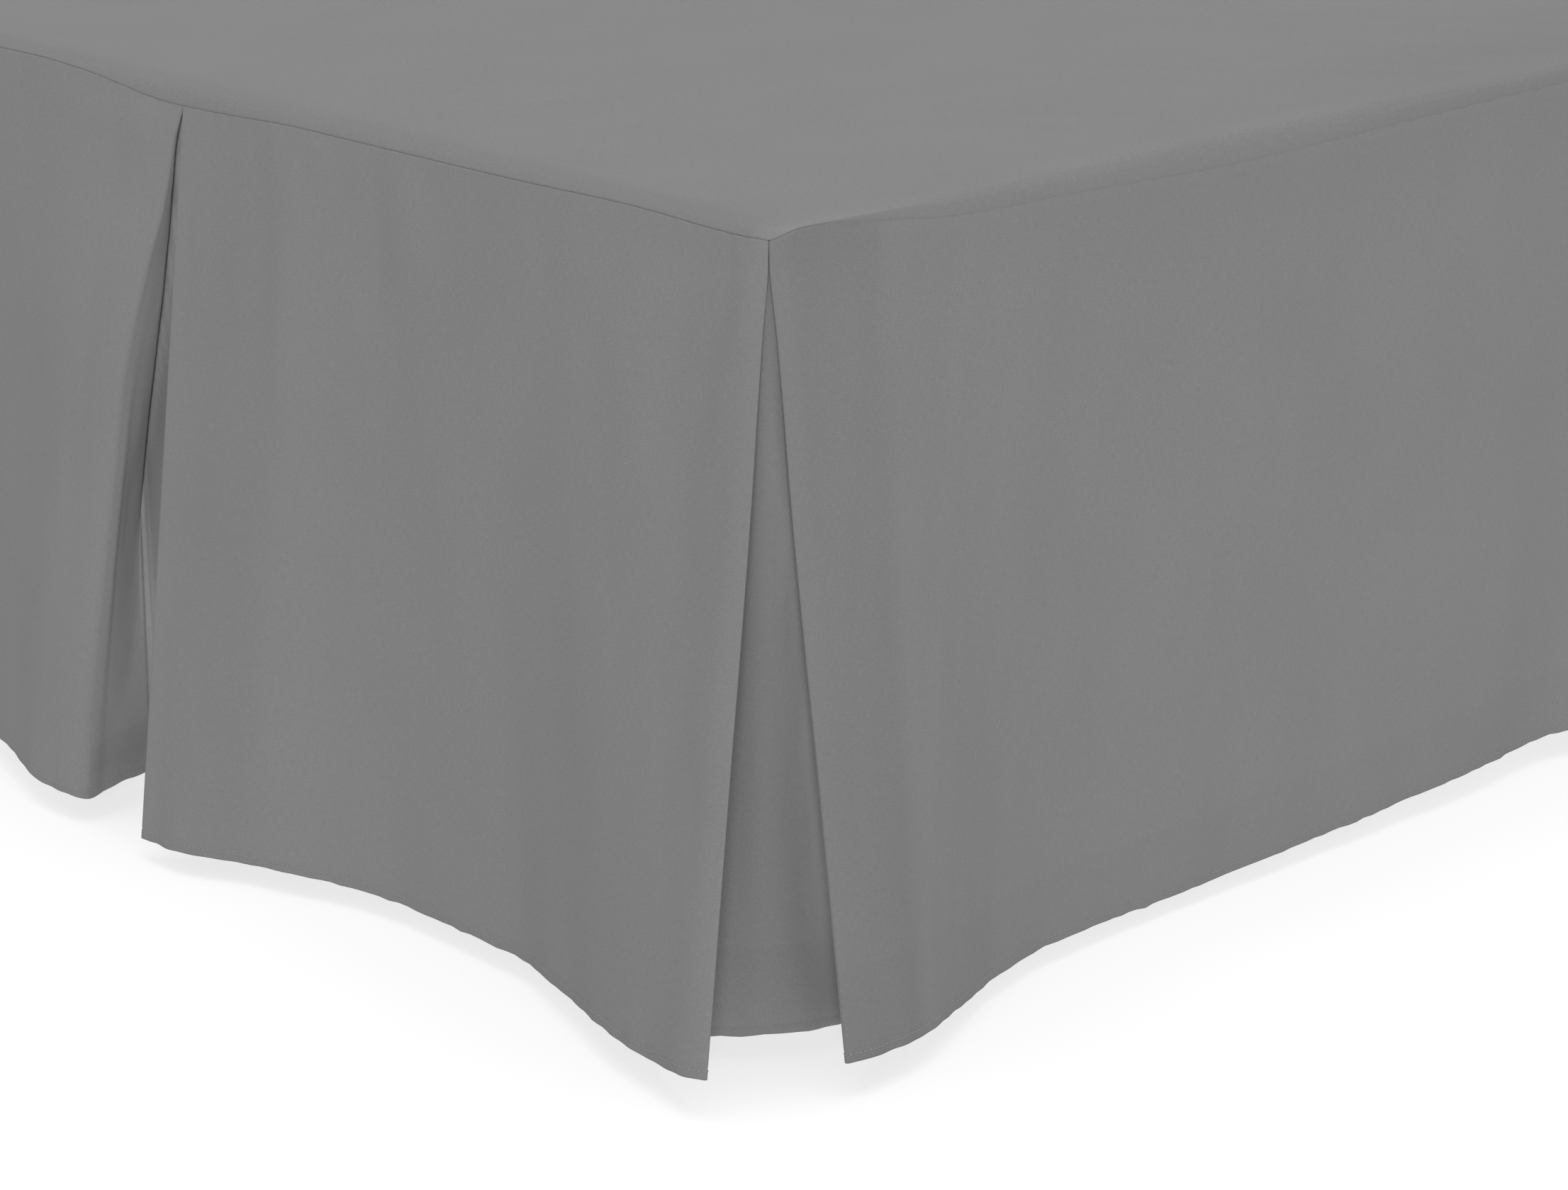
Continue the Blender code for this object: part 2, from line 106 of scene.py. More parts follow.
LEFT_HEM = (
    ((62, 15), (8, 48)),
    ((8, 48), (20, 52), (42, 50), (70, 42), (104, 30), (140, 18), (180, 10), (240, 6), (330, 5),
     (430, 8), (530, 5), (630, 7), (700, 15), (770, 28), (850, 42), (898, 50), (922, 49)),
    ((922, 49), (916, 28), (908, 11), (905, 2)),
    ((905, 2), (944, 1), (984, 0), (1020, 2)),
    ((1020, 2), (1008, 30), (992, 55)),
    ((992, 55), (1010, 56), (1048, 46), (1098, 30), (1160, 15), (1240, 7), (1360, 9), (1490, 5),
     (1610, 9), (1730, 5), (1830, 8), (1905, 6)),
)

# How far the seam is pulled down below the top of the base. Columns: distance as above, dip (mm).
FOOT_SEAM = (
    (-456, 1), (-410, 3), (-350, 2), (-270, 3.5), (-190, 1.5), (-138, 0.6), (-111, 1.2), (-84, 2.5),
    (-58, 5), (-32, 7.7), (-5, 8.5), (40, 7.3), (90, 5), (137, 4.6), (272, 3.8), (355, 2.2),
    (415, 3.2), (456, 1),
)
SIDE_SEAM = (
    (0, 1), (52, 2.2), (92, 2.4), (130, 4.3), (228, 6), (320, 8.5), (450, 6.5), (614, 3.4), (780, 4),
    (955, 7.5), (1150, 4), (1500, 5.5), (1906, 3),
)

# How much further it is pulled down close to a corner. Columns: distance from the corner, less than 0
# along the foot and more along a side, dip (mm).
CORNER_SEAM = (
    (-70, 0), (-40, 0.5), (-20, 1.4), (-8, 2.0), (-2, 2.8), (2, 2.8), (7, 1.4), (14, -0.4), (24, -1.5),
    (60, -1.6), (100, -0.7), (140, 0),
)

# The swing of the fold left of the foot's middle pleat, which fades away from it within SWING_REACH.
# Columns: share of the way down, share of the way out.
FREE_SWING = (
    (0, 0), (0.04, 0.07), (0.10, 0.13), (0.15, 0.19), (0.19, 0.265), (0.256, 0.366), (0.312, 0.445),
    (0.379, 0.525), (0.435, 0.573), (0.50, 0.615), (0.615, 0.71), (0.704, 0.778), (0.84, 0.89), (1, 1),
)
SWING_REACH = 0.12

# The swing of the folds at the corners, within CORNER_REACH, in the same columns
CORNER_REACH = 0.10
LATE_SWING = (
    (0, 0), (0.035, 0.006), (0.07, 0.045), (0.11, 0.095), (0.15, 0.133), (0.21, 0.188), (0.285, 0.248),
    (0.36, 0.318), (0.45, 0.412), (0.525, 0.492), (0.60, 0.577), (0.75, 0.736), (1, 1),
)

# The valley behind the soft fold left of the foot's middle pleat. Columns: share of the way down,
# place along the foot and outside the seam line (mm).
VALLEY = (
    (0, -3, -1.0), (0.15, -14.5, -1.0), (0.267, -24.5, -1.2), (0.384, -36, -1.4), (0.47, -44, -1.5),
    (0.53, -49, -1.2), (0.605, -52, 1), (0.70, -51.5, 7), (0.80, -49.5, 16), (0.87, -49.2, 23),
    (0.93, -49.5, 29), (1, -49.5, 34.6),
)
VALLEY_ROUNDING = (-0.004, -0.002, 0.0, 0.002, 0.004)

# How much higher the hem of that pleat's inner layers hangs
MIDDLE_LIFT = 0.0100

# How far the sides hang short of the drop. Columns: distance as above, shortfall (mm).
SIDE_SHORTFALL = (
    (100, 0), (190, 1.2), (250, 2), (337, 3), (450, 2.3), (545, 3), (640, 3.6), (1906, 2),
)

# Section of the platform cloth from its flat middle out to the seam. Columns: inset from the seam
# (mm), height over the base (mm), share of the seam's dip.
PLATFORM_SECTION = (
    (150, 0.8, 0.0), (60, 0.8, 0.0), (26, 1.8, 0.0), (14, 2.5, 0.0), (8, 2.5, 0.12),
    (4, 2.1, 0.38), (1.5, 1.4, 0.72), (0, 0.7, 1.0),
)

# The same along the sides, where it turns over more tightly
SIDE_SECTION = (
    (150, 0.8, 0.0), (60, 0.8, 0.0), (26, 1.6, 0.0), (14, 2.2, 0.0), (8, 2.2, 0.02), (5, 2.0, 0.08),
    (3, 1.7, 0.22), (1.8, 1.3, 0.42), (0.9, 1.0, 0.68), (0, 0.7, 1.0),
)

# The platform's edge ring by ring. Columns: inwards, down (mm). Along the sides it laps over the skirt's
# top, and follows how far that swings out (m along the side, m out at the hem).
FOOT_LIP = ((0.05, 0.18), (0.14, 0.34), (0.30, 0.47), (0.50, 0.53), (0.65, 0.55), (0.80, 0.55))
SIDE_LAP = ((-0.12, 1.0), (-0.14, 2.2), (-0.12, 3.8), (-0.10, 5.2), (-0.02, 6.4), (0.90, 8.4))
LAP_SWING = (
    (0.0, 0.053), (0.063, 0.050), (0.128, 0.024), (0.200, 0.006), (0.640, 0.0), (0.760, 0.030),
    (0.955, 0.052), (1.150, 0.018), (1.350, 0.005), (1.900, 0.008),
)

# Grid lines of the platform: distances from its edges (mm), and the step between them further in
EDGE_LINES = (0, 0.45, 1.0, 1.8, 2.8, 4.2, 6, 8.2, 11, 14.7, 19, 24, 30, 37, 45)
PLATFORM_STEP = 0.0082

# How much darker the platform is painted as painted shade on its roll along the sides and on that at the
# foot, and how much darker it is towards the far right
ROLL_DARKNESS = 0.050
FOOT_ROLL_DARKNESS = 0.110
FAR_DARKNESS = 0.050

# Rows of cloth: distances below the seam, then distances above the hem (mm)
TOP_ROWS = (0, 0.8, 2, 3.5, 5.5, 8, 11, 15, 20, 26)
MIDDLE_ROW_STEP = 8.0
HEM_ROWS = (34, 27, 21, 16, 12.5, 10, 8, 6.4, 5.3, 4.7, 4.2, 3.7, 2.8, 1.8, 0.8, 0)
TOP_CURL = ((0.42, 1.05), (0.20, 0.85), (0.06, 0.48))
PANEL_STEP = 0.0045
FAR_STEP = 0.0060
RETURN_STEP = 0.0040
SOFT_STEP = 0.0022
FOLD_STEPS = 8
FOLD_CROWDING = 0.10
SOFT_FOLD_RUN = 0.013

# Soft troughs and ridges that run down the cloth. Columns (mm): place along the side at the seam and
# at the hem, where it starts and ends below the seam, half width at its start and end, height.
# One that ends CREASE_TO_HEM (m) or more below the seam runs out through the hem.
CREASE_TO_HEM = 0.39
FOOT_CREASES = (
    (74, 86, 6, 400, 9, 20, -2.24), (60, 60, 2, 120, 8, 18, 0.84), (97, 112, 4, 260, 12, 26, 0.98),
    (82, 78, 0, 34, 4, 7, 0.99), (118, 126, 2, 26, 6, 8, 1.1), (152, 160, 2, 30, 4, 7, 1.1),
    (164, 188, 6, 110, 6, 15, -1.4), (190, 205, 4, 90, 12, 20, 0.7), (212, 236, 3, 50, 10, 14, -0.77),
    (298, 320, 3, 130, 5, 22, -0.6), (318, 345, 6, 160, 12, 24, 0.49), (404, 396, 4, 150, 14, 26, -0.8),
    (446, 396, 0, 190, 6, 12, 1.1), (430, 420, 8, 330, 12, 20, -0.5), (262, 250, 40, 400, 40, 50, 0.7),
    (-34, -44, 2, 40, 9, 12, 0.88), (-52, -66, 4, 330, 10, 16, -0.5), (-82, -92, 10, 400, 14, 22, 0.31),
    (-128, -140, 8, 400, 16, 26, -0.77), (-165, -172, 6, 400, 14, 24, 0.39),
    (-210, -215, 4, 240, 14, 26, -1.12), (-262, -250, 12, 380, 22, 34, 0.98),
    (-318, -330, 3, 150, 10, 22, -1.12), (-372, -366, 6, 300, 16, 28, 0.84),
    (-446, -396, 0, 190, 6, 12, 1.1), (-424, -412, 8, 330, 12, 20, -0.98),
)
RIGHT_CREASES = (
    (30, 34, 3, 200, 12, 26, -0.84), (70, 64, 6, 330, 10, 24, 0.6), (112, 118, 4, 170, 16, 26, -0.7),
    (168, 186, 6, 390, 24, 40, 0.84), (262, 250, 5, 300, 26, 46, -0.98), (356, 340, 20, 380, 40, 60, 0.84),
    (452, 470, 8, 330, 34, 50, -0.84), (548, 556, 10, 390, 30, 44, 0.98),
    (630, 618, 30, 400, 24, 30, -1.54), (704, 690, 6, 360, 20, 30, 1.26), (782, 800, 8, 390, 24, 34, -1.12),
    (848, 846, 4, 200, 14, 30, 1.12), (905, 884, 2, 330, 10, 18, -0.98),
    (1010, 1034, 2, 330, 12, 20, -1.26), (1072, 1080, 6, 390, 18, 30, 1.26),
    (1160, 1150, 5, 390, 22, 38, -1.12), (1268, 1286, 8, 390, 30, 44, 0.84),
    (1390, 1384, 4, 360, 26, 40, -0.98), (1496, 1510, 10, 390, 30, 44, 0.84),
    (1604, 1596, 5, 370, 24, 40, -0.84), (1716, 1722, 6, 390, 26, 36, 0.98),
    (1818, 1806, 4, 350, 20, 34, -0.98),
)
LEFT_CREASES = (
    (34, 30, 3, 210, 12, 26, -0.98), (82, 90, 5, 330, 12, 24, 1.12), (150, 160, 4, 390, 18, 34, -0.98),
    (236, 222, 6, 390, 24, 42, 0.98), (330, 344, 5, 330, 26, 44, -1.12), (424, 416, 14, 380, 34, 50, 0.84),
    (520, 536, 6, 390, 28, 46, -0.98), (618, 606, 8, 390, 28, 40, 1.12), (700, 712, 5, 330, 20, 32, -0.98),
    (782, 770, 6, 390, 20, 30, 1.12), (856, 862, 4, 330, 14, 26, -0.98),
    (1016, 1040, 2, 330, 12, 20, -1.26), (1086, 1078, 6, 390, 18, 30, 1.12),
    (1180, 1196, 5, 390, 24, 40, -1.12), (1290, 1280, 8, 390, 30, 44, 0.98),
    (1402, 1410, 4, 360, 26, 40, -0.98), (1520, 1506, 10, 390, 30, 44, 0.84),
    (1636, 1646, 5, 370, 24, 40, -0.98), (1740, 1730, 6, 390, 26, 36, 0.84),
    (1838, 1846, 4, 350, 18, 34, -0.84),
)

# Creases on the platform cloth. Columns (mm): one end (x, distance from the foot seam), the other
# end, half width, height.
PLATFORM_CREASES = (
    (-152, 190, -88, 252, 7, -0.94), (-196, 150, -150, 196, 8, -0.33), (150, 56, 236, 78, 5, 0.59),
    (152, 66, 226, 86, 4, -0.42), (-110, 14, -62, 30, 4, 0.51), (-96, 22, -40, 34, 4, -0.51),
    (-20, 16, 34, 26, 5, 0.51), (60, 18, 118, 30, 5, -0.42), (250, 22, 330, 30, 5, 0.42),
    (330, 36, 402, 60, 6, -0.42), (450, 488, 453, 560, 3, 0.85), (438, 470, 446, 600, 5, -0.59),
    (300, 262, 392, 352, 7, -0.51), (248, 330, 372, 452, 8, -0.59), (226, 372, 330, 470, 8, 0.51),
    (282, 470, 420, 606, 8, -0.68), (258, 520, 372, 630, 8, 0.51), (300, 600, 420, 716, 9, -0.77),
    (196, 560, 330, 700, 10, -0.68), (330, 690, 430, 800, 9, 0.59), (-300, 420, -180, 560, 10, -0.68),
    (-380, 700, -250, 860, 11, -0.68), (60, 820, 240, 1010, 12, -0.59), (-220, 1060, -40, 1240, 12, -0.68),
    (180, 1240, 330, 1420, 12, -0.68), (-360, 1380, -220, 1530, 11, 0.68),
    (-60, 1500, 110, 1690, 12, -0.68),
)

# The deepest that the platform dips, which keeps it clear of the base
DEEPEST_TROUGH = 0.00065

# Where the layers of a pleat lie behind a side's panel: their edge at the seam and at the hem and how
# soft it is (mm), and how much darker the panel is painted there as painted shade, at UNDERLAY_SHARES of the
# way down
UNDERLAY_PAINTED_SHADE = {
    "foot": (78, 92, 14, (0.035, 0.085, 0.045)),
    "right": (72, 58, 10, (0.070, 0.095, 0.110)),
    "left": (66, 60, 10, (0.060, 0.080, 0.090)),
}
UNDERLAY_SHARES = (0.0, 0.55, 1.0)

# Painted light: how much lighter the layers inside a pleat are painted, standing in for light that comes
# through the cloth in front of them, by the share of the way down: the turned-back layer and the back one
# at a corner, the same two of the other pleats, and the valley, which part of the way down is painted darker
# instead
CORNER_RETURN_LIFT = 0.90
CORNER_BACK_LIFT = ((0, 0.35), (0.15, 0.32), (0.5, 0.17), (1, 0.07))
MIDDLE_RETURN_LIFT = (
    (0, 4.0), (0.06, 3.2), (0.13, 1.8), (0.2, 0.9), (0.26, 0.9), (0.35, 1.0), (0.47, 1.2), (0.66, 1.05),
    (0.77, 0.8), (0.87, 0.5), (0.96, 0.1),
)
MIDDLE_BACK_LIFT = (
    (0, 0.6), (0.15, 0.4), (0.3, 0.2), (0.45, 0.15), (0.55, 0.30), (0.7, 0.4), (0.85, 0.65), (1, 1.0),
)
RETURN_FALL = ((0.26, 0.70), (0.49, 0.30))
VALLEY_LIFT = (
    (0, 0.7), (0.40, 0.7), (0.50, 0.4), (0.55, 0.0), (0.62, -0.25), (0.80, -0.25), (0.90, 0.0), (1, 0.0),
)
VALLEY_REACH = 0.0040

# Painted light: lighter bands of a corner's back layer beside the side's panel, whose edge swings out by
# PANEL_SWING.
# Columns: lift, start and end off that edge (m), shares of the way down over which it grows.
PANEL_SWING = 0.050
PANEL_EDGE_LIFTS = ((0.32, -0.026, -0.012, 0.20, 0.80), (0.40, -0.015, -0.006, 0.15, 0.40))

# Painted shade below the base's lower edge, where the pale base no longer shows through the cloth: that
# edge's height above the hem (m) on the panels, in the pleats and round the corners, and how clearly the
# shade shows on the sides' panels and in the corners' pleats
EDGE_ON_PANEL = 0.040
EDGE_IN_PLEAT = 0.031
EDGE_AT_CORNER = 0.047
CLEAR_ON_SIDE = 0.25
CLEAR_AT_CORNER = 0.6

# Hem stitches
STITCH_PITCH = 0.0030
STITCH_LENGTH = 0.0021
STITCH_WIDTH = 0.00055
STITCH_RISE = 0.00016
STITCH_LINE = 0.0042

# Camera: place relative to the foot end's right seam corner, and direction of view
CAMERA_FROM_CORNER = np.array([1.3902, -1.3214, 0.4512])
CORNER = np.array([0.4557, -0.9557, 0.4190])
CAMERA_AZIMUTH = math.radians(46.21)
CAMERA_PITCH = math.radians(18.04)
CAMERA_ROLL = math.radians(0.3455)
CAMERA_LENS = 97.65
SENSOR_WIDTH = 36.0

# Light. Columns: name, azimuth and height that it comes from (degrees), strength, how wide it looks
SKY_STRENGTH = 0.70
LAMPS = (
    ("overhead", 0.0, 90.0, 1.80, 50.0), ("camera_side", -43.8, 18.0, 1.47, 12.0),
    ("right_flank", 45.0, 20.0, 0.36, 50.0), ("left_flank", -135.0, 20.0, 0.18, 50.0),
)
FLOOR_TONE = 0.24
FLOOR_GLOW = 0.72
FLOOR_REACH = 40.0


# ---- lines and waves

def unit(vectors):
    return vectors / np.maximum(np.linalg.norm(vectors, axis=-1, keepdims=True), 1e-12)


def read_off(table, value, column=1):
    """A column of a table at values of its first column."""
    rows = np.array(table)
    return np.interp(value, rows[:, 0], rows[:, column])


class Path:
    """A line seen from above, looked up by the distance along it."""

    def __init__(self, points):
        self.points = np.array(points, dtype=float)
        steps = np.linalg.norm(np.diff(self.points, axis=0), axis=1)
        self.marks = np.concatenate([[0.0], np.cumsum(steps)])
        self.length = self.marks[-1]
        self.first_way = unit(self.points[0] - self.points[1])
        self.last_way = unit(self.points[-1] - self.points[-2])

    def on_line(self, distance):
        """Points at distances along the line, which runs on straight past its ends."""
        distance = np.atleast_1d(np.asarray(distance, dtype=float))
        inside = np.clip(distance, 0.0, self.length)
        point = np.stack([np.interp(inside, self.marks, self.points[:, axis]) for axis in (0, 1)], axis=-1)
        point += np.maximum(-distance, 0.0)[:, None] * self.first_way
        point += np.maximum(distance - self.length, 0.0)[:, None] * self.last_way
        return point

    def beside(self, distance, inward, reach=0.002):
        """Points along the line and off it towards the bed, at right angles."""
        way = unit(self.on_line(distance + reach) - self.on_line(distance - reach))
        across = np.stack([-way[:, 1], way[:, 0]], axis=-1)
        return self.on_line(distance) + np.reshape(inward, (-1, 1)) * across


def smooth_line(rows, steps=8):
    """Points along a Catmull-Rom curve through the rows."""
    knots = np.array([rows[0], *rows, rows[-1]], dtype=float)
    line = []
    for before, start, end, after in zip(knots, knots[1:], knots[2:], knots[3:]):
        for step in range(steps):
            t = step / steps
            cubic = 3 * (start - end) + after - before
            square = 2 * before - 5 * start + 4 * end - after
            line.append(start + 0.5 * t * (end - before + t * (square + t * cubic)))
    line.append(knots[-1])
    return np.array(line)


def arc(centre, radius, first_angle, turn, steps):
    """Points round an arc, anticlockwise."""
    angles = first_angle + turn * np.arange(steps + 1) / steps
    return np.array(centre) + radius * np.stack([np.cos(angles), np.sin(angles)], axis=-1)


def ease(value, low, high):
    """0 up to low, 1 from high on, and smooth between them."""
    share = np.clip((value - low) / (high - low), 0.0, 1.0)
    return share * share * (3 - 2 * share)


def waves(seed, along, across, long_wave, short_wave, count=14):
    """A smooth chance field, about -1 to 1, with its own wavelength each way."""
    chance = np.random.default_rng(seed)
    total = np.zeros(np.broadcast(along, across).shape)
    for _ in range(count):
        stretch = chance.uniform(0.7, 1.6, 2) * chance.choice([-1.0, 1.0], 2)
        phase = chance.uniform(0.0, 2 * math.pi)
        turns = along / long_wave * stretch[0] + across / short_wave * stretch[1]
        total = total + np.sin(2 * math.pi * turns + phase)
    return total / math.sqrt(count)


# ---- the seam

def seam_path():
    """The seam round the bed: down the left side, along the foot, up the right side."""
    centre_x = SEAM_X - SEAM_RADIUS
    centre_y = SEAM_Y + SEAM_RADIUS
    quarter = math.pi / 2
    return Path(np.concatenate([
        [(-SEAM_X, HEAD_Y)],
        arc((-centre_x, centre_y), SEAM_RADIUS, math.pi, quarter, 16),
        arc((centre_x, centre_y), SEAM_RADIUS, -quarter, quarter, 16),
        [(SEAM_X, HEAD_Y)],
    ]))


SEAM = seam_path()
FOOT_MIDDLE = SEAM.length / 2
CORNER_FROM_HEAD = HEAD_Y - SEAM_Y - SEAM_RADIUS + math.pi / 4 * SEAM_RADIUS
LEFT_CORNER = CORNER_FROM_HEAD
RIGHT_CORNER = SEAM.length - CORNER_FROM_HEAD
LEFT_MIDDLE = HEAD_Y
RIGHT_MIDDLE = SEAM.length - HEAD_Y

FOOT_DIPS = smooth_line(FOOT_SEAM) * MM
SIDE_DIPS = smooth_line(SIDE_SEAM) * MM
CORNER_DIPS = smooth_line(CORNER_SEAM) * MM
SHORTFALLS = np.array(SIDE_SHORTFALL) * MM


def from_corner(points):
    """Distance from the nearer foot corner: less than 0 along the foot, more along the side."""
    return (points[..., 1] - SEAM_Y) - (SEAM_X - np.abs(points[..., 0]))


def side_share(points):
    """0 nearer the foot's seam, 1 nearer a side's, and a blend round the corner."""
    return np.clip(from_corner(points) / SEAM_RADIUS / 2 + 0.5, 0.0, 1.0)


def corner_dip(points):
    return read_off(CORNER_DIPS, from_corner(points))


def seam_dip(points):
    """How far the seam lies below the base's top, at points seen from above."""
    foot_dip = read_off(FOOT_DIPS, points[..., 0])
    side_dip = read_off(SIDE_DIPS, points[..., 1] - SEAM_Y)
    return foot_dip + (side_dip - foot_dip) * side_share(points) + corner_dip(points)


def foot_place(along, out):
    return along * MM, SEAM_Y - out * MM


def right_place(along, out):
    return SEAM_X + out * MM, SEAM_Y + along * MM


def left_place(along, out):
    return -SEAM_X - out * MM, SEAM_Y + along * MM


# ---- threads of the skirt

def hem_legs(legs, place):
    """The hem's legs as paths."""
    return [Path(smooth_line([place(*point) for point in leg])) for leg in legs]


class Leg:
    """A stretch of cloth between two folds: its run along the seam, its layer, and its hem."""

    def __init__(self, start, end, layer, hem, soft=False, step=PANEL_STEP):
        self.start = start
        self.end = end
        self.layer = layer
        self.hem = hem
        self.soft = soft
        self.step = (SOFT_STEP if soft else RETURN_STEP) if layer else step

    def direction(self):
        return 1.0 if self.end > self.start else -1.0

    def length(self):
        return abs(self.end - self.start)

    def fold_run(self, at_mouth):
        return SOFT_FOLD_RUN if self.soft and at_mouth else HEM_FOLD_RUN

    def swings(self, along):
        """How freely each thread swings: fully at the soft fold, less and less away from it."""
        if not self.soft:
            return np.zeros(len(along))
        from_mouth = self.length() - along if self.layer == 0 else along
        return np.exp(-(from_mouth / SWING_REACH) ** 2)

    def middle_threads(self, folded_start, folded_end):
        """Threads between the leg's two folds: seam point, hem point, swing, fold distance, layer, and
        how far beyond the soft fold."""
        radius = LAYER_PITCH / 2
        seam_from = radius if folded_start else 0.0
        seam_to = self.length() - (radius if folded_end else 0.0)
        hem_from = self.fold_run(self.layer == 1) if folded_start else 0.0
        hem_to = self.hem.length - (self.fold_run(self.layer == 0) if folded_end else 0.0)
        count = max(6, round(self.length() / self.step))
        evenly = np.arange(count + 1) / count
        shares = evenly - FOLD_CROWDING * np.sin(2 * math.pi * evenly)
        shares = shares[1 if folded_start else 0:-1 if folded_end else None]
        along = seam_from + (seam_to - seam_from) * shares
        hem_along = hem_from + (hem_to - hem_from) * shares
        layer = np.full(len(along), float(self.layer))
        seam = SEAM.beside(self.start + self.direction() * along, layer * LAYER_PITCH)
        far = np.ones(len(along))
        from_fold = np.minimum(along if folded_start else far, self.length() - along if folded_end else far)
        beyond = hem_along / self.hem.length if self.soft and self.layer == 1 else 0 * shares
        return seam, self.hem.on_line(hem_along), self.swings(along), from_fold, layer, beyond

    def fold_threads(self, following):
        """Threads round the fold into the next leg: a half turn at the seam, a soft bend at the hem."""
        radius = LAYER_PITCH / 2
        share = (np.arange(FOLD_STEPS + 1) / FOLD_STEPS)[:, None]
        at_mouth = self.layer + following.layer == 1
        before = self.hem.on_line(self.hem.length - self.fold_run(at_mouth))
        after = following.hem.on_line(following.fold_run(at_mouth))
        tip = self.hem.points[-1]
        angle = math.pi * share[:, 0]
        run = self.end - self.direction() * radius * (1 - np.sin(angle))
        layer = self.layer + (following.layer - self.layer) * (1 - np.cos(angle)) / 2
        seam = SEAM.beside(run, layer * LAYER_PITCH)
        hem = (1 - share) ** 2 * before + 2 * share * (1 - share) * tip + share ** 2 * after
        ends = [self.swings(np.array([self.length()]))[0], following.swings(np.array([0.0]))[0]]
        swing = np.interp(share[:, 0], (0.0, 1.0), ends)
        beyond = np.clip(2 * share[:, 0] - 1, 0.0, 1.0) * following.fold_run(at_mouth) / following.hem.length
        return seam, hem, swing, np.zeros(len(run)), layer, beyond * (self.soft and following.soft)


def strip_threads(legs):
    """Every thread of a length of skirt, from its first leg to its last."""
    parts = []
    for at, leg in enumerate(legs):
        last = at == len(legs) - 1
        parts.append(leg.middle_threads(folded_start=at > 0, folded_end=not last))
        if not last:
            parts.append(leg.fold_threads(legs[at + 1]))
    return [np.concatenate([part[column] for part in parts]) for column in range(6)]


def foot_strip():
    """Both foot panels, the pleat between them and the back layers that go round the corners."""
    hems = hem_legs(FOOT_HEM, foot_place)
    half = PLEAT_MOUTH / 2
    join = PLEAT_DEPTH - LAYER_PITCH
    left_fold = LEFT_CORNER + half
    right_fold = RIGHT_CORNER - half
    before = FOOT_MIDDLE - half
    after = FOOT_MIDDLE + half
    return [
        Leg(LEFT_CORNER - join, left_fold + PLEAT_DEPTH, 2, hems[0]),
        Leg(left_fold + PLEAT_DEPTH, left_fold, 1, hems[1]),
        Leg(left_fold, before, 0, hems[2], soft=True),
        Leg(before, before - PLEAT_DEPTH, 1, hems[3], soft=True),
        Leg(before - PLEAT_DEPTH, after + PLEAT_DEPTH, 2, hems[4]),
        Leg(after + PLEAT_DEPTH, after, 1, hems[5]),
        Leg(after, right_fold, 0, hems[6]),
        Leg(right_fold, right_fold - PLEAT_DEPTH, 1, hems[7]),
        Leg(right_fold - PLEAT_DEPTH, RIGHT_CORNER + join, 2, hems[8]),
    ]


def side_strip(hem, place, corner, middle, head, turn, step):
    """A side's two panels and the pleat between them, from the crease hidden in the corner pleat."""
    hems = hem_legs(hem, place)
    half = turn * PLEAT_MOUTH / 2
    deep = turn * PLEAT_DEPTH
    return [
        Leg(corner + half + deep, corner + half, 1, hems[0]),
        Leg(corner + half, middle - half, 0, hems[1], step=step),
        Leg(middle - half, middle - half - deep, 1, hems[2]),
        Leg(middle - half - deep, middle + half + deep, 2, hems[3]),
        Leg(middle + half + deep, middle + half, 1, hems[4]),
        Leg(middle + half, head, 0, hems[5], step=FAR_STEP),
    ]


# ---- cloth

UPWARDS = np.array([0.0, 0.0, 1.0])


def grid_normals(points):
    """Outward normals of a grid of rows (down) by threads (along)."""
    return unit(np.cross(np.gradient(points, axis=0), np.gradient(points, axis=1)))


def crease_height(table, along, below):
    """Height of the soft troughs and ridges at places on a panel, in metres."""
    height = np.zeros(along.shape)
    for top, bottom, start, end, first_width, last_width, rise in np.array(table, dtype=float) * MM:
        share = np.clip((below - start) / (end - start), 0.0, 1.0)
        middle = top + (bottom - top) * below / DROP
        width = first_width + (last_width - first_width) * share
        fade = ease(below, start - 0.004, start + 0.2 * (end - start))
        if end < CREASE_TO_HEM:
            fade = fade * (1 - ease(below, end - 0.45 * (end - start), end))
        height += rise * np.exp(-((along - middle) / width) ** 2) * fade
    return height


def add_mesh(name, points, faces, look, coordinates=None):
    """An object from points and faces, with the cloth's flat coordinates in metres as its UV map."""
    mesh = bpy.data.meshes.new(name)
    mesh.from_pydata((points + CENTRE).tolist(), [], faces.tolist())
    mesh.materials.append(look)
    mesh.polygons.foreach_set("use_smooth", np.ones(len(mesh.polygons), dtype=bool))
    if coordinates is not None:
        layer = mesh.uv_layers.new(name="cloth")
        corners = np.zeros(len(mesh.loops), dtype=np.int32)
        mesh.loops.foreach_get("vertex_index", corners)
        layer.data.foreach_set("uv", coordinates[corners].astype(np.float32).ravel())
    mesh.update()
    thing = bpy.data.objects.new(name, mesh)
    bpy.context.scene.collection.objects.link(thing)
    return thing


def thicken(thing, hem_share):
    """Give a cloth surface its thickness, which is greater where its hem is turned."""
    group = thing.vertex_groups.new(name="hem")
    for level in np.unique(hem_share):
        group.add(np.flatnonzero(hem_share == level).tolist(), float(level), "REPLACE")
    solidify = thing.modifiers.new("thickness", "SOLIDIFY")
    solidify.thickness = HEM_THICKNESS
    solidify.offset = 0.0
    solidify.vertex_group = "hem"
    solidify.thickness_vertex_group = CLOTH_THICKNESS / HEM_THICKNESS


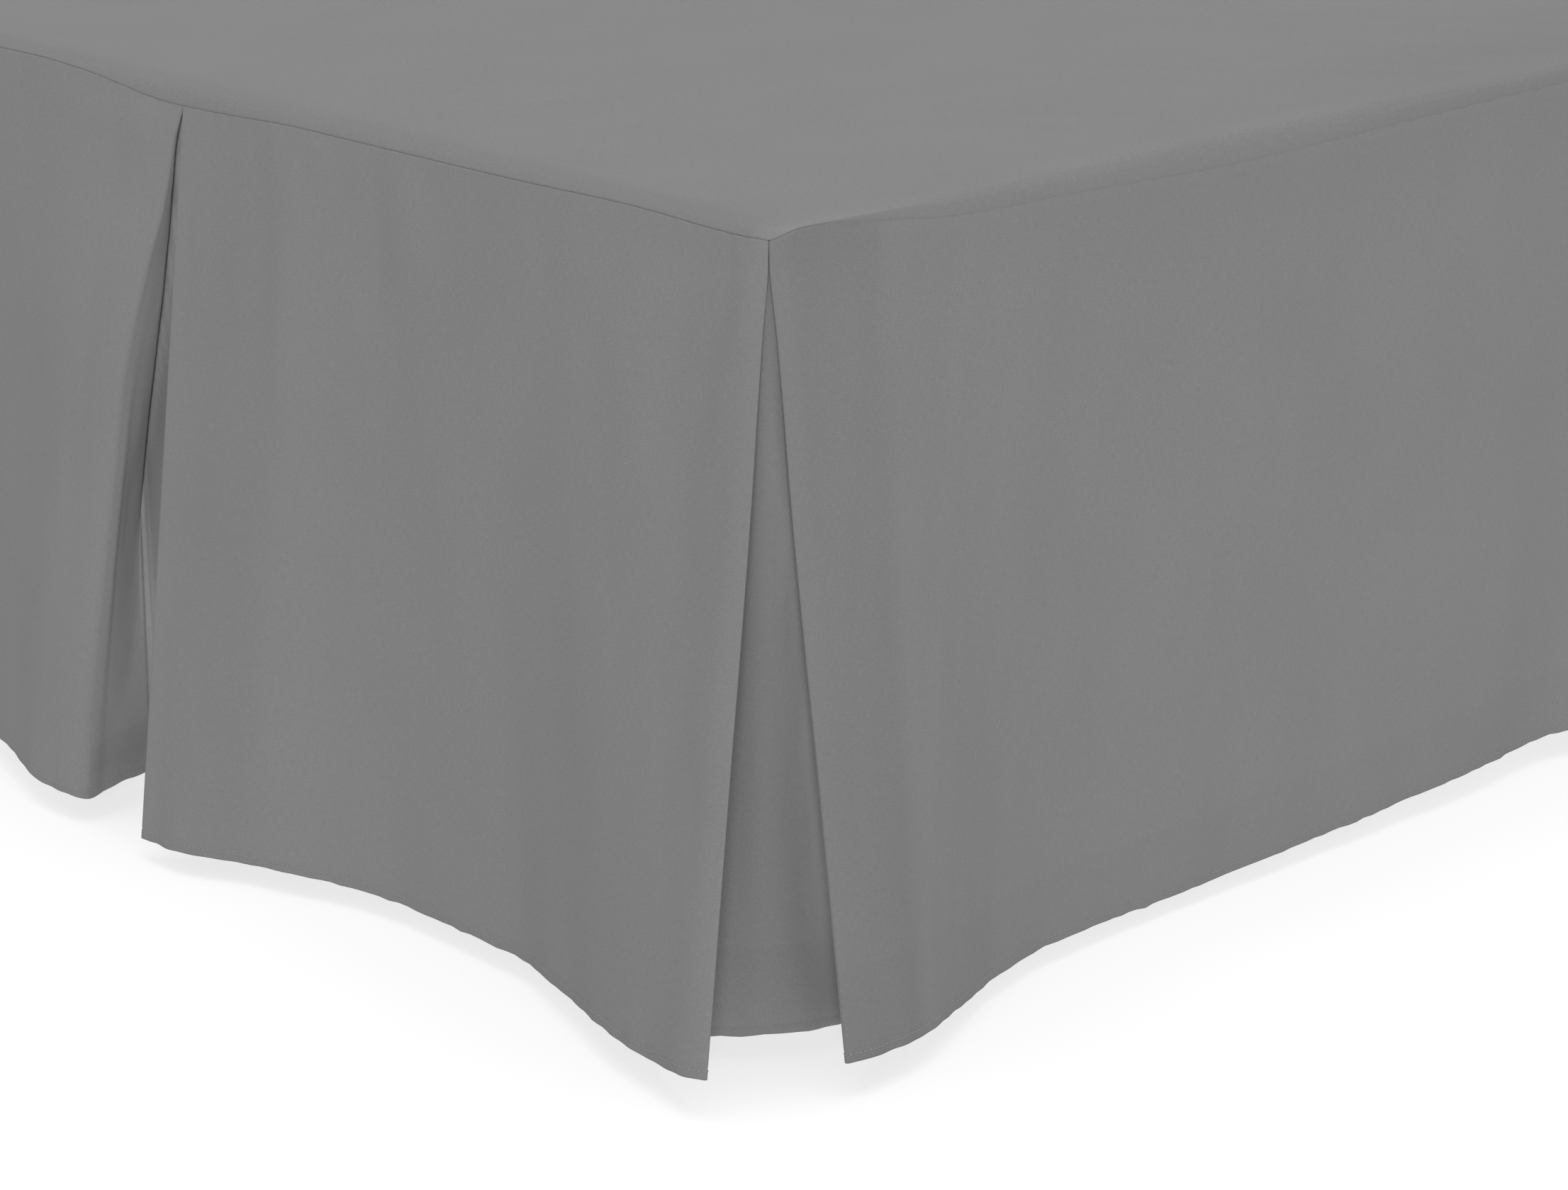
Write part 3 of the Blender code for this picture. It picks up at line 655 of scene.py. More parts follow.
def row_places(length):
    """Distances of the rows below the seam for each thread, rows by threads."""
    top = np.array(TOP_ROWS) * MM
    hem = np.array(HEM_ROWS) * MM
    count = round((DROP - hem[0] - top[-1]) / MM / MIDDLE_ROW_STEP)
    shares = (np.arange(1, count) / count)[:, None]
    middle = top[-1] + (length - hem[0] - top[-1]) * shares
    return np.concatenate([
        np.repeat(top[:, None], len(length), axis=1), middle, length[None, :] - hem[:, None],
    ])


def valley_at(share):
    """The valley's place seen from above, at shares of the way down."""
    return np.stack(foot_place(*(read_off(VALLEY, share, column) for column in (1, 2))), axis=-1)


def run_into_valley(plan, share, beyond):
    """Let the cloth behind the soft fold run in to the pleat's valley, and lie flat beyond it."""
    inside = np.flatnonzero(beyond > 0)
    inside = inside[np.argsort(beyond[inside])]
    rows = share[:, inside[0]]
    start, end = plan[:, inside[0]], plan[:, inside[-1]]
    valley = valley_at(rows)
    first = np.linalg.norm(valley - start, axis=-1)[:, None]
    second = np.linalg.norm(end - valley, axis=-1)[:, None]
    through = (beyond[inside] - beyond[inside[0]]) / (beyond[inside[-1]] - beyond[inside[0]])
    total = 0.0
    for slip in VALLEY_ROUNDING:
        at = np.clip(through * (first + second) + slip, 0.0, first + second)
        to_valley = np.clip(at / first, 0.0, 1.0)[..., None]
        to_end = np.clip((at - first) / second, 0.0, 1.0)[..., None]
        total = total + start[:, None] + (valley - start)[:, None] * to_valley
        total = total + (end - valley)[:, None] * to_end
    target = total / len(VALLEY_ROUNDING)
    weight = ease(through, 0.0, 0.22) * (1 - ease(through, 0.94, 1.0))
    weight = weight * ease(rows, 0.0, 0.12)[:, None]
    plan[:, inside] += weight[..., None] * (target - plan[:, inside])
    return plan


def grid_faces(rows, columns):
    """Point numbers of a grid, and its faces."""
    index = np.arange(rows * columns).reshape(rows, columns)
    faces = np.stack([index[:-1, :-1], index[1:, :-1], index[1:, 1:], index[:-1, 1:]], axis=-1)
    return index, faces.reshape(-1, 4)


def add_strip(side, legs, creases, seed, flat_length, turned, look):
    """A length of skirt with its folds, its turned hem, and the rolled top that meets the seam."""
    on_foot = side == "foot"
    columns = strip_threads(legs)
    seam, hem, swing, from_fold, layer, beyond = (column[::-1] for column in columns) if turned else columns
    front = np.where(layer < 0.5, 1.0, 0.0)
    length = DROP - read_off(SHORTFALLS, hem[:, 1] - SEAM_Y)
    middle = layer * (np.abs(hem[:, 0]) < 0.1) * on_foot
    lifted = np.where(middle > 1.5, 1.0, (middle > 0.5) * ease(beyond, 0.02, 0.60))
    length = length - MIDDLE_LIFT * lifted
    reach = hem - seam
    hang = np.sqrt(length ** 2 - (reach ** 2).sum(axis=1))
    below = row_places(length)
    above_hem = length - below
    share = below / length
    off_corner = np.hypot(*(np.abs(seam) - np.array([SEAM_X, -SEAM_Y])).T)
    late = np.exp(-(off_corner / CORNER_REACH) ** 2) * np.clip(2 - layer, 0.0, 1.0)
    swung = share + swing * (read_off(FREE_SWING, share) - share)
    swung = swung + late * (read_off(LATE_SWING, share) - share)
    plan = seam + reach * swung[..., None]
    if on_foot:
        plan = run_into_valley(plan, share, beyond)
    top = BASE_TOP - seam_dip(seam) - PART_GAP - SOLID_THICKNESS / 2
    fallen = top - hang * share + corner_dip(seam) * (1 - (1 - share) ** 2)
    points = np.concatenate([plan, fallen[..., None]], axis=-1)

    # flat distance along the strip, taken half way down
    half = points[np.argmin(np.abs(share[:, 0] - 0.5))]
    flat = np.concatenate([[0.0], np.cumsum(np.linalg.norm(np.diff(half, axis=0), axis=1))])
    flat = (flat * flat_length / flat[-1])[None, :]

    def ripples(number, height, long_wave, short_wave=math.inf):
        return height * waves(seed + number, flat, below, long_wave, short_wave)

    axis, start = (0, 0.0) if on_foot else (1, SEAM_Y)
    along = seam[:, axis] - start + reach[:, axis] * share
    panel_room = ease(from_fold, 0.001, 0.014) * front
    layer_room = ease(from_fold, 0.002, 0.016)
    rise = PROUD * front + crease_height(creases, along, below) * panel_room
    rise += ripples(0, 0.00018, 0.090, 0.380) * layer_room * ease(below, 0.0, 0.10)
    rise += ripples(1, 0.00012, 0.030, 0.120) * layer_room * ease(below, 0.0, 0.03)
    rise += ripples(2, 0.00022, 0.016) * panel_room * np.exp(-below / 0.012)
    rise += ripples(3, 0.00026, 0.026) * layer_room * np.exp(-above_hem / 0.013)
    rise += ripples(4, 0.00045, 0.070, 0.500) * layer_room * np.exp(-above_hem / 0.045)
    rise -= 0.00030 * (1 - ease(above_hem, 0.0046, 0.0062))
    if not on_foot:
        tucked = ease(along, 0.015, 0.080) * (1 - ease(below, 0.002, 0.0085))
        rise -= 0.0007 * tucked * front
    points = points + grid_normals(points) * rise[..., None]
    points[..., 2] += ripples(5, 0.00024, 0.024) * np.exp(-above_hem / 0.020) * layer_room

    # the top edge rolls in towards the bed under the platform's lip
    across = unit(np.cross(UPWARDS, np.gradient(points[0], axis=0)))
    curl = [points[0] + (across * inward + UPWARDS * up) * MM for inward, up in TOP_CURL]
    points = np.concatenate([curl, points])
    height = np.concatenate([np.repeat(length[None, :], len(TOP_CURL), axis=0) + MM, above_hem])
    coordinates = np.stack(np.broadcast_arrays(flat, height), axis=-1)
    faces = grid_faces(*height.shape)[1]
    strip = add_mesh(f"skirt_{side}_cloth", points.reshape(-1, 3), faces, look, coordinates.reshape(-1, 2))

    hem_share = np.zeros(height.shape)
    hem_share[len(TOP_CURL):][above_hem < HEM_WIDTH] = 1.0
    if not on_foot:
        hem_share[:, np.abs(seam[:, 1] - HEAD_Y) < HEM_WIDTH] = 1.0
    thicken(strip, hem_share.ravel())
    # painted light and shade of the cloth, for its material
    through = show_through(side, seam, layer, beyond, along, share, plan)
    mark_tone(strip, np.concatenate([np.repeat(through[:1], len(TOP_CURL), axis=0), through]))
    stitch_row = np.argmin(np.abs(height[:, 0] - STITCH_LINE))
    normals = grid_normals(points)[stitch_row]
    return strip, points[stitch_row] + normals * (HEM_THICKNESS / 2), normals


def mark_tone(thing, values):
    """Keep the painted light and shade on the mesh, for its material."""
    mark = thing.data.attributes.new("show_through", "FLOAT_VECTOR", "POINT")
    mark.data.foreach_set("vector", values.astype(np.float32).ravel())


def show_through(side, seam, layer, beyond, along, share, plan):
    """Painted light and shade of the thin cloth at each point: tone, height of the base's edge, and how
    clearly the painted shade below that edge shows.
    """
    on_foot = side == "foot"
    front = np.where(layer < 0.5, 1.0, 0.0)
    inner = np.where(beyond > 0, ease(beyond, 0.01, 0.19), ease(layer, 0.5, 1.0))
    around = from_corner(seam)
    cornered = np.abs(around) < CORNER_REACH
    turned_back = np.clip(3 - 2 * layer, 0.0, 1.0)

    # painted light: the layers inside a pleat are painted lighter, standing in for light that reaches them
    # through the cloth in front of them
    fall = read_off(RETURN_FALL, share) * ease(beyond, 0.2, 0.9)
    return_lift = np.where(cornered, CORNER_RETURN_LIFT, read_off(MIDDLE_RETURN_LIFT, share) * (1.15 - fall))
    back_lift = np.where(cornered, read_off(CORNER_BACK_LIFT, share), read_off(MIDDLE_BACK_LIFT, share))
    off_panel = around - PANEL_SWING * share
    fade = 1 - 0.7 * ease(share, 0.82, 1.0)
    for rise, start, end, first, last in PANEL_EDGE_LIFTS:
        band = ease(off_panel, start, end) * ease(share, first, last)
        back_lift = back_lift + rise * cornered * band * fade
    lift = return_lift * turned_back + back_lift * (1 - turned_back)
    if on_foot:
        from_valley = np.linalg.norm(plan - valley_at(share), axis=-1)
        in_valley = np.exp(-(from_valley / VALLEY_REACH) ** 2) * (layer > 0.5)
        lift = lift + read_off(VALLEY_LIFT, share) * in_valley
    tone = 1 + inner * lift

    # painted shade on the panels: darker where the pleats' layers lie behind them, near the foot's corners,
    # and just below the seam on the sides
    top, hem, soft, dark = UNDERLAY_PAINTED_SHADE[side]
    edge = (top + (hem - top) * share) * MM
    covered = 1 - ease(along, edge - soft * MM, edge + soft * MM)
    covered = covered * ease(along, -0.040, 0.0)
    if on_foot:
        covered = covered * (0.4 + 0.6 * ease(along, 0.020, 0.050))
        # painted shade near each corner of the foot panel
        shade = (0.065 - 0.030 * share) * ease(share, 0.0, 0.08)
        shade = shade * np.exp(-((SEAM_X - np.abs(along)) / 0.042) ** 2)
    else:
        # painted shade just below the seam, under the platform's lip
        shade = 0.020 * (1 - ease(share, 0.04, 0.16))
    tone = tone - (np.interp(share, UNDERLAY_SHARES, dark) * covered + shade) * front
    # painted shade below the base's lower edge: its height, and how clearly it shows
    edge_height = np.where(cornered, EDGE_AT_CORNER, np.where(front > 0.5, EDGE_ON_PANEL, EDGE_IN_PLEAT))
    panel_clear = 0.0 if on_foot else CLEAR_ON_SIDE
    clear = np.where(front > 0.5, panel_clear, np.where(cornered, CLEAR_AT_CORNER, 1.0))
    return np.stack(np.broadcast_arrays(tone, edge_height, clear), axis=-1)


def add_stitches(name, line, normals, seed, look):
    """The hem's row of stitches: short raised lengths of thread sunk in the cloth at both ends."""
    chance = np.random.default_rng(seed)
    marks = np.concatenate([[0.0], np.cumsum(np.linalg.norm(np.diff(line, axis=0), axis=1))])
    count = int(marks[-1] / STITCH_PITCH)
    middles = (np.arange(count) + 0.5) * STITCH_PITCH + chance.normal(0.0, 0.00012, count)
    lengths = STITCH_LENGTH * chance.uniform(0.85, 1.12, count)

    def look_up(values, at):
        return np.stack([np.interp(at, marks, values[:, axis]) for axis in range(3)], axis=-1)

    # rings of six points from one end to the other: share of the half length, width, height over the cloth
    rings = ((-1.0, 0.45, -0.9), (-0.62, 0.9, 0.55), (0.0, 1.0, 1.0), (0.62, 0.9, 0.55), (1.0, 0.45, -0.9))
    turns = np.arange(6) * math.pi / 3
    points = []
    for share, width, height in rings:
        at = middles + share * lengths / 2
        centre = look_up(line, at)
        way = unit(look_up(line, at + 0.0004) - look_up(line, at - 0.0004))
        out = unit(look_up(normals, at))
        side = unit(np.cross(way, out))
        centre = centre + out * (height * STITCH_RISE - STITCH_RISE * 0.5)
        half_width, rise = STITCH_WIDTH / 2 * width, STITCH_RISE * 1.3 * width
        ring = [centre + side * half_width * math.cos(turn) + out * rise * math.sin(turn) for turn in turns]
        points.append(np.stack(ring, axis=1))
    points = np.stack(points, axis=1).reshape(-1, 3)
    faces = [
        (ring + turn, ring + (turn + 1) % 6, ring + 6 + (turn + 1) % 6, ring + 6 + turn)
        for ring in range(0, 6 * len(rings) - 6, 6) for turn in range(6)
    ]
    ends = [(0, 5, 4, 3), (0, 3, 2, 1), (24, 25, 26, 27), (24, 27, 28, 29)]
    first_points = np.arange(count)[:, None, None] * 6 * len(rings)
    return add_mesh(name, points, (first_points + np.array(faces + ends)).reshape(-1, 4), look)


def edge_lines(span, step):
    """Grid lines across the platform: close together at both edges, even between them."""
    near = np.array(EDGE_LINES) * MM
    count = round((span - 2 * near[-1]) / step)
    middle = near[-1] + (span - 2 * near[-1]) * np.arange(1, count) / count
    return np.concatenate([near, middle, span - near[::-1]])


def head_share(points):
    """0 where the platform hangs from its seam, 1 at the head, where it lies flat on the base."""
    return np.clip((points[..., 1] - PLATFORM_HEAD_Y + SEAM_RADIUS) / SEAM_RADIUS, 0.0, 1.0)


def add_platform(look):
    """The platform cloth: flat in the middle, rolled over the base's edges to a turned lip at the seam."""
    half = np.array([SEAM_X, (PLATFORM_HEAD_Y - SEAM_Y) / 2])
    middle = np.array([0.0, (PLATFORM_HEAD_Y + SEAM_Y) / 2])
    lines = [edge_lines(2 * span, PLATFORM_STEP) - span for span in half]
    grid = np.stack(np.meshgrid(*lines), axis=-1)
    over = np.clip((np.abs(grid) - half + SEAM_RADIUS) / SEAM_RADIUS, 0.0, 1.0)
    rounded = over * np.sqrt(1 - over[..., ::-1] ** 2 / 2)
    corner = (over > 0).all(axis=-1)
    out = np.where(corner[..., None], half - SEAM_RADIUS + SEAM_RADIUS * rounded, np.abs(grid))
    plan = np.sign(grid) * out + middle
    in_corner = SEAM_RADIUS * (1 - np.hypot(rounded[..., 0], rounded[..., 1]))
    inset = np.maximum(np.where(corner, in_corner, (half - np.abs(grid)).min(axis=-1)), 0.0)

    on_side = side_share(plan)
    height, dip_share = 0.0, 0.0
    for rows_out, weight in ((PLATFORM_SECTION, 1 - on_side), (SIDE_SECTION, on_side)):
        section = smooth_line(rows_out[::-1]) * np.array([MM, MM, 1.0])
        height = height + weight * read_off(section, inset)
        dip_share = dip_share + weight * read_off(section, inset, 2)
    head = head_share(plan)
    dip = seam_dip(plan) * (1 - head)
    rise = creased_platform(plan) * ease(inset, 0.002, 0.030)
    z = BASE_TOP + height + PROUD - dip * dip_share + rise

    points = np.concatenate([plan, z[..., None]], axis=-1).reshape(-1, 3)
    index, faces = grid_faces(*z.shape)
    faces = faces[:, [0, 3, 2, 1]]

    # the edge: it turns down and in at the foot's seam, and laps a little way down over the sides
    loop = np.concatenate([index[0, :], index[1:, -1], index[-1, -2::-1], index[-2:0:-1, 0]])
    edge = points[loop]
    way = unit(np.roll(edge, -1, axis=0) - np.roll(edge, 1, axis=0))
    inward = unit(np.stack([-way[:, 1], way[:, 0], np.zeros(len(loop))], axis=-1))
    flat = head_share(edge)
    from_foot = edge[:, 1] - SEAM_Y
    lapped = side_share(edge[:, :2]) * ease(from_foot, 0.020, 0.120) * (1 - flat)
    hem_out = read_off(LAP_SWING, from_foot) * (1 - 0.85 * np.exp(-(from_foot / 0.10) ** 2))
    coordinates = points[:, :2] - np.array([0.0, SEAM_Y])
    from_foot = points[:, 1] - SEAM_Y
    at_side, to_edge = on_side.ravel(), inset.ravel()
    side_roll = (1 - ease(to_edge, 0.003, 0.010)) * at_side * ease(from_foot, 0.03, 0.14)
    foot_roll = (1 - ease(to_edge, 0.0, 0.024)) * (1 - at_side) * (1 - head.ravel())
    # darker towards the far right, and painted shade on the rolls along the sides and at the foot
    tone = 1 - FAR_DARKNESS * ease(points[:, 0], 0.26, 0.43) * ease(from_foot, 0.30, 0.66)
    tone = tone - ROLL_DARKNESS * side_roll - FOOT_ROLL_DARKNESS * foot_roll
    rings = [loop]
    for (tuck, fall), (side_tuck, side_fall) in zip(FOOT_LIP, SIDE_LAP):
        drop = (fall * (1 - 0.55 * flat) * (1 - lapped) + side_fall * lapped) * MM
        inwards = (tuck * (1 - lapped) + side_tuck * lapped) * MM - lapped * hem_out * drop / DROP
        ring = edge + inward * inwards[:, None] - UPWARDS * drop[:, None]
        rings.append(len(points) + np.arange(len(loop)))
        points = np.concatenate([points, ring])
        coordinates = np.concatenate([coordinates, coordinates[loop] - inward[:, :2] * drop[:, None]])
        # the lap's rings take back most of the roll's painted shade
        tone = np.concatenate([tone, tone[loop] + (ROLL_DARKNESS - 0.005) * lapped])
    for upper, lower in zip(rings, rings[1:]):
        turned = np.stack([np.roll(upper, -1), upper, lower, np.roll(lower, -1)], axis=-1)
        faces = np.concatenate([faces, turned])
    platform = add_mesh("platform_cloth_top", points, faces, look, coordinates)
    mark_tone(platform, np.stack([tone, 0 * tone, 0 * tone], axis=-1))
    thicken(platform, np.where(points[:, 1] > PLATFORM_HEAD_Y - 0.012, 1.0, 0.0))
    return platform


def creased_platform(plan):
    """Creases and long faint ripples of the platform cloth."""
    x = plan[..., 0]
    y = plan[..., 1] - SEAM_Y
    rise = np.zeros(x.shape)
    for x_from, y_from, x_to, y_to, width, height in np.array(PLATFORM_CREASES, dtype=float) * MM:
        run = math.hypot(x_to - x_from, y_to - y_from)
        way_x, way_y = (x_to - x_from) / run, (y_to - y_from) / run
        along = (x - x_from) * way_x + (y - y_from) * way_y
        across = (y - y_from) * way_x - (x - x_from) * way_y
        bent = across - 0.03 * run * np.sin(math.pi * np.clip(along / run, 0.0, 1.0))
        fade = ease(along, 0.0, 0.35 * run) * (1 - ease(along, 0.65 * run, run))
        rise += height * np.exp(-(bent / width) ** 2) * fade
    turned_x = (x + y) * math.sqrt(0.5)
    turned_y = (y - x) * math.sqrt(0.5)
    far = 0.35 + 0.65 * ease(turned_x, 0.25, 0.60)
    rise += 0.00042 * far * waves(41, turned_x, turned_y, 0.340, 0.036, 18)
    rise += 0.00030 * waves(42, x, y, 0.170, 0.210)
    return np.where(rise < 0, DEEPEST_TROUGH * np.tanh(rise / DEEPEST_TROUGH), rise)


# ---- materials

class Look:
    """A procedural material, built node by node."""

    def __init__(self, name, roughness, specular, sheen=0.0):
        self.material = bpy.data.materials.new(name)
        self.material.use_nodes = True
        self.tree = self.material.node_tree
        self.shader = self.tree.nodes["Principled BSDF"]
        self.shader.inputs["Roughness"].default_value = roughness
        self.shader.inputs["Specular IOR Level"].default_value = specular
        self.shader.inputs["Sheen Weight"].default_value = sheen
        self.shader.inputs["Sheen Roughness"].default_value = 0.5

    def node(self, kind, inputs, output=0, **settings):
        made = self.tree.nodes.new(kind)
        for setting, value in settings.items():
            setattr(made, setting, value)
        for socket, value in inputs.items():
            self.feed(made.inputs[socket], value)
        return made.outputs[output]

    def feed(self, socket, value):
        if isinstance(value, bpy.types.NodeSocket):
            self.tree.links.new(value, socket)
        else:
            socket.default_value = value

    def sum(self, operation, first, second=0.0, third=0.0):
        return self.node("ShaderNodeMath", {0: first, 1: second, 2: third}, operation=operation)

    def times(self, first, *others):
        for other in others:
            first = self.sum("MULTIPLY", first, other)
        return first

    def scaled(self, value, factor, added):
        return self.sum("MULTIPLY_ADD", value, factor, added)

    def split(self, vector):
        parts = self.tree.nodes.new("ShaderNodeSeparateXYZ")
        self.feed(parts.inputs[0], vector)
        return parts.outputs

    def varied(self, *parts):
        """Product of values that each vary by a share of 1. Each part: value, its low, its high, share."""
        return self.times(*(self.between(value, low, high, 1 - share, 1 + share)
                            for value, low, high, share in parts))

    def noise(self, place, scale, detail=2.0, roughness=0.5):
        """Noise with its own grain size each way, given in 1/m."""
        stretched = self.node("ShaderNodeMapping", {"Vector": place, "Scale": scale})
        return self.node(
            "ShaderNodeTexNoise",
            {"Vector": stretched, "Scale": 1.0, "Detail": detail, "Roughness": roughness},
        )

    def between(self, value, low, high, to_low, to_high):
        return self.node(
            "ShaderNodeMapRange",
            {"Value": value, "From Min": low, "From Max": high, "To Min": to_low, "To Max": to_high},
        )

    def place(self):
        """A point's place on the object, in metres."""
        return self.node("ShaderNodeTexCoord", {}, output=3)

    def colour(self, value):
        self.feed(self.shader.inputs["Base Color"], value)

    def bump(self, height, distance, strength):
        bumped = self.node("ShaderNodeBump", {"Height": height, "Distance": distance, "Strength": strength})
        self.feed(self.shader.inputs["Normal"], bumped)


WEAVE_PITCH = 0.00044
CLOTH_TONE = 0.164
THREAD_TONE = 0.20
COVER_PITCH = 0.0007
COVER_TONE = (0.45, 0.44, 0.42)


def cloth_look(name, hemmed):
    """Matt plain weave with uneven threads, small light flecks and soft blotches."""
    look = Look(name, roughness=0.95, specular=0.08)
    place = look.node("ShaderNodeUVMap", {}, uv_map="cloth")
    along, up, _ = look.split(place)
    # painted light and shade kept on the mesh: tone, height of the base's edge, how clearly the painted
    # shade below it shows
    mark = look.node("ShaderNodeAttribute", {}, output=1, attribute_name="show_through")
    painted_light_shade, edge_height, clearness = look.split(mark)
    weft = look.noise(place, (260.0, 1500.0, 1.0), 2.0)
    warp = look.noise(place, (1500.0, 230.0, 1.0), 2.0)
    grain = look.noise(place, (1250.0, 1250.0, 1.0), 3.0, 0.6)
    fleck = look.between(look.noise(place, (330.0, 1050.0, 7.0), 1.0), 0.70, 0.80, 0.0, 1.0)
    blotch = look.noise(place, (16.0, 11.0, 1.0), 3.0)
    bent = look.noise(place, (40.0, 40.0, 3.0), 1.0)
    weave = look.times(*(
        look.sum("SINE", look.scaled(axis, math.pi / WEAVE_PITCH, look.times(bent, bend)))
        for axis, bend in ((along, 9.0), (up, 7.0))
    ))
    tone = look.varied(
        (weft, 0.25, 0.75, 0.05), (warp, 0.25, 0.75, 0.05), (grain, 0.25, 0.75, 0.045),
        (blotch, 0.30, 0.70, 0.015), (weave, -1.0, 1.0, 0.05),
    )
    tone = look.scaled(fleck, 0.16, tone)
    height = look.scaled(weave, 0.30, look.sum("ADD", weft, warp))
    height = look.scaled(grain, 0.5, height)
    if hemmed:
        # a shallow groove along the stitches, puckered where each stitch goes in, with painted shade along
        # it
        off_line = look.sum("ABSOLUTE", look.sum("SUBTRACT", up, STITCH_LINE))
        groove = look.between(off_line, 0.0, 0.0011, 1.0, 0.0)
        pucker = look.sum("SINE", look.times(along, 2 * math.pi / STITCH_PITCH))
        height = look.sum("SUBTRACT", height, look.times(groove, look.scaled(pucker, 0.5, 1.6)))
        tone = look.times(tone, look.between(up, 0.0040, 0.0046, 0.975, 1.0))
        # painted shade along the groove
        tone = look.scaled(groove, -0.05, tone)
        # painted shade below the base's lower edge, where the pale base no longer shows through the cloth
        below_edge_shade = look.between(look.sum("SUBTRACT", up, edge_height), -0.0010, 0.0010, 0.075, 0.0)
        painted_light_shade = look.sum("SUBTRACT", painted_light_shade, look.times(below_edge_shade, clearness))
    look.colour(look.times(tone, painted_light_shade, CLOTH_TONE))
    look.bump(height, 0.00016, 0.55)
    return look.material


def thread_look():
    """Hem thread, a little lighter than the cloth, with its twist."""
    look = Look("hem_thread", roughness=0.70, specular=0.30, sheen=0.05)
    place = look.place()
    twist = look.noise(place, (2600.0, 2600.0, 2600.0), 2.0)
    tone = look.between(twist, 0.3, 0.7, THREAD_TONE * 0.82, THREAD_TONE * 1.12)
    look.colour(tone)
    look.bump(twist, 0.00010, 0.5)
    return look.material


def cover_look():
    """Pale ticking on the base: a tight weave with faint mottling and a little scuffing low down."""
    look = Look("base_cover_cloth", roughness=0.90, specular=0.25, sheen=0.05)
    place = look.place()
    across, along, up = look.split(place)
    rows = [look.sum("SINE", look.times(axis, math.pi / COVER_PITCH)) for axis in (across, along, up)]
    weave = look.times(rows[0], rows[1])
    weave = look.scaled(rows[1], rows[2], weave)
    weave = look.scaled(rows[0], rows[2], weave)
    fine = look.noise(place, (700.0, 700.0, 1400.0), 3.0)
    mottle = look.noise(place, (9.0, 9.0, 14.0), 4.0)
    scuff = look.noise(place, (60.0, 60.0, 110.0), 5.0, 0.7)
    low = look.between(up, 0.055, 0.095, 1.0, 0.0)
    dirt = look.between(look.times(scuff, low), 0.42, 0.70, 1.0, 0.82)
    shade = look.varied((fine, 0.25, 0.75, 0.05), (mottle, 0.3, 0.7, 0.03), (weave, -1.0, 1.0, 0.05))
    shade = look.times(shade, dirt)
    shares = {channel: look.times(shade, share) for channel, share in enumerate(COVER_TONE)}
    look.colour(look.node("ShaderNodeCombineColor", shares))
    look.bump(look.scaled(weave, 0.6, fine), 0.00020, 0.5)
    return look.material


def glide_look():
    """Black moulded plastic, finely grained, dulled and greyed where it meets the floor."""
    look = Look("glide_moulded_plastic", roughness=0.45, specular=0.5)
    place = look.place()
    up = look.split(place)[2]
    grain = look.noise(place, (1500.0, 1500.0, 1500.0), 3.0)
    rub = look.noise(place, (140.0, 140.0, 500.0), 4.0, 0.7)
    worn = look.times(look.between(up, 0.001, 0.010, 1.0, 0.0), look.between(rub, 0.40, 0.65, 0.0, 1.0))
    tone = look.scaled(worn, 0.035, look.between(rub, 0.3, 0.7, 0.017, 0.024))
    roughness = look.scaled(worn, 0.25, look.between(grain, 0.3, 0.7, 0.40, 0.52))
    look.colour(tone)
    look.feed(look.shader.inputs["Roughness"], roughness)
    look.bump(grain, 0.00012, 0.4)
    return look.material


# ---- pieces

skirt_look = cloth_look("skirt_plain_weave", hemmed=True)
platform_look = cloth_look("platform_plain_weave", hemmed=False)
hem_look = thread_look()
cover = cover_look()
glide_plastic = glide_look()

platform = add_platform(platform_look)
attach(platform, "root")
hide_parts("platform_cloth")

right_legs = side_strip(RIGHT_HEM, right_place, RIGHT_CORNER, RIGHT_MIDDLE, SEAM.length, 1, PANEL_STEP)
left_legs = side_strip(LEFT_HEM, left_place, LEFT_CORNER, LEFT_MIDDLE, 0.0, -1, FAR_STEP)
STRIPS = (
    ("foot", foot_strip(), FOOT_CREASES, 11, FOOT_FLAT, False),
    ("right", right_legs, RIGHT_CREASES, 21, SIDE_FLAT, False),
    ("left", left_legs, LEFT_CREASES, 31, SIDE_FLAT, True),
)
for side, legs, creases, seed, flat_size, turned in STRIPS:
    cloth, line, normals = add_strip(side, legs, creases, seed, flat_size[0], turned, skirt_look)
    thread = add_stitches(f"hem_stitches_{side}", line, normals, seed + 7, hem_look)
    for piece in (cloth, thread):
        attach(piece, "root")
    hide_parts(f"skirt_{side}")

for node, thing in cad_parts.items():
    if node == "bed_base":
        thing.material_slots[0].material = cover
    elif node.startswith("glide"):
        thing.material_slots[0].material = glide_plastic


# ---- stage, light and camera

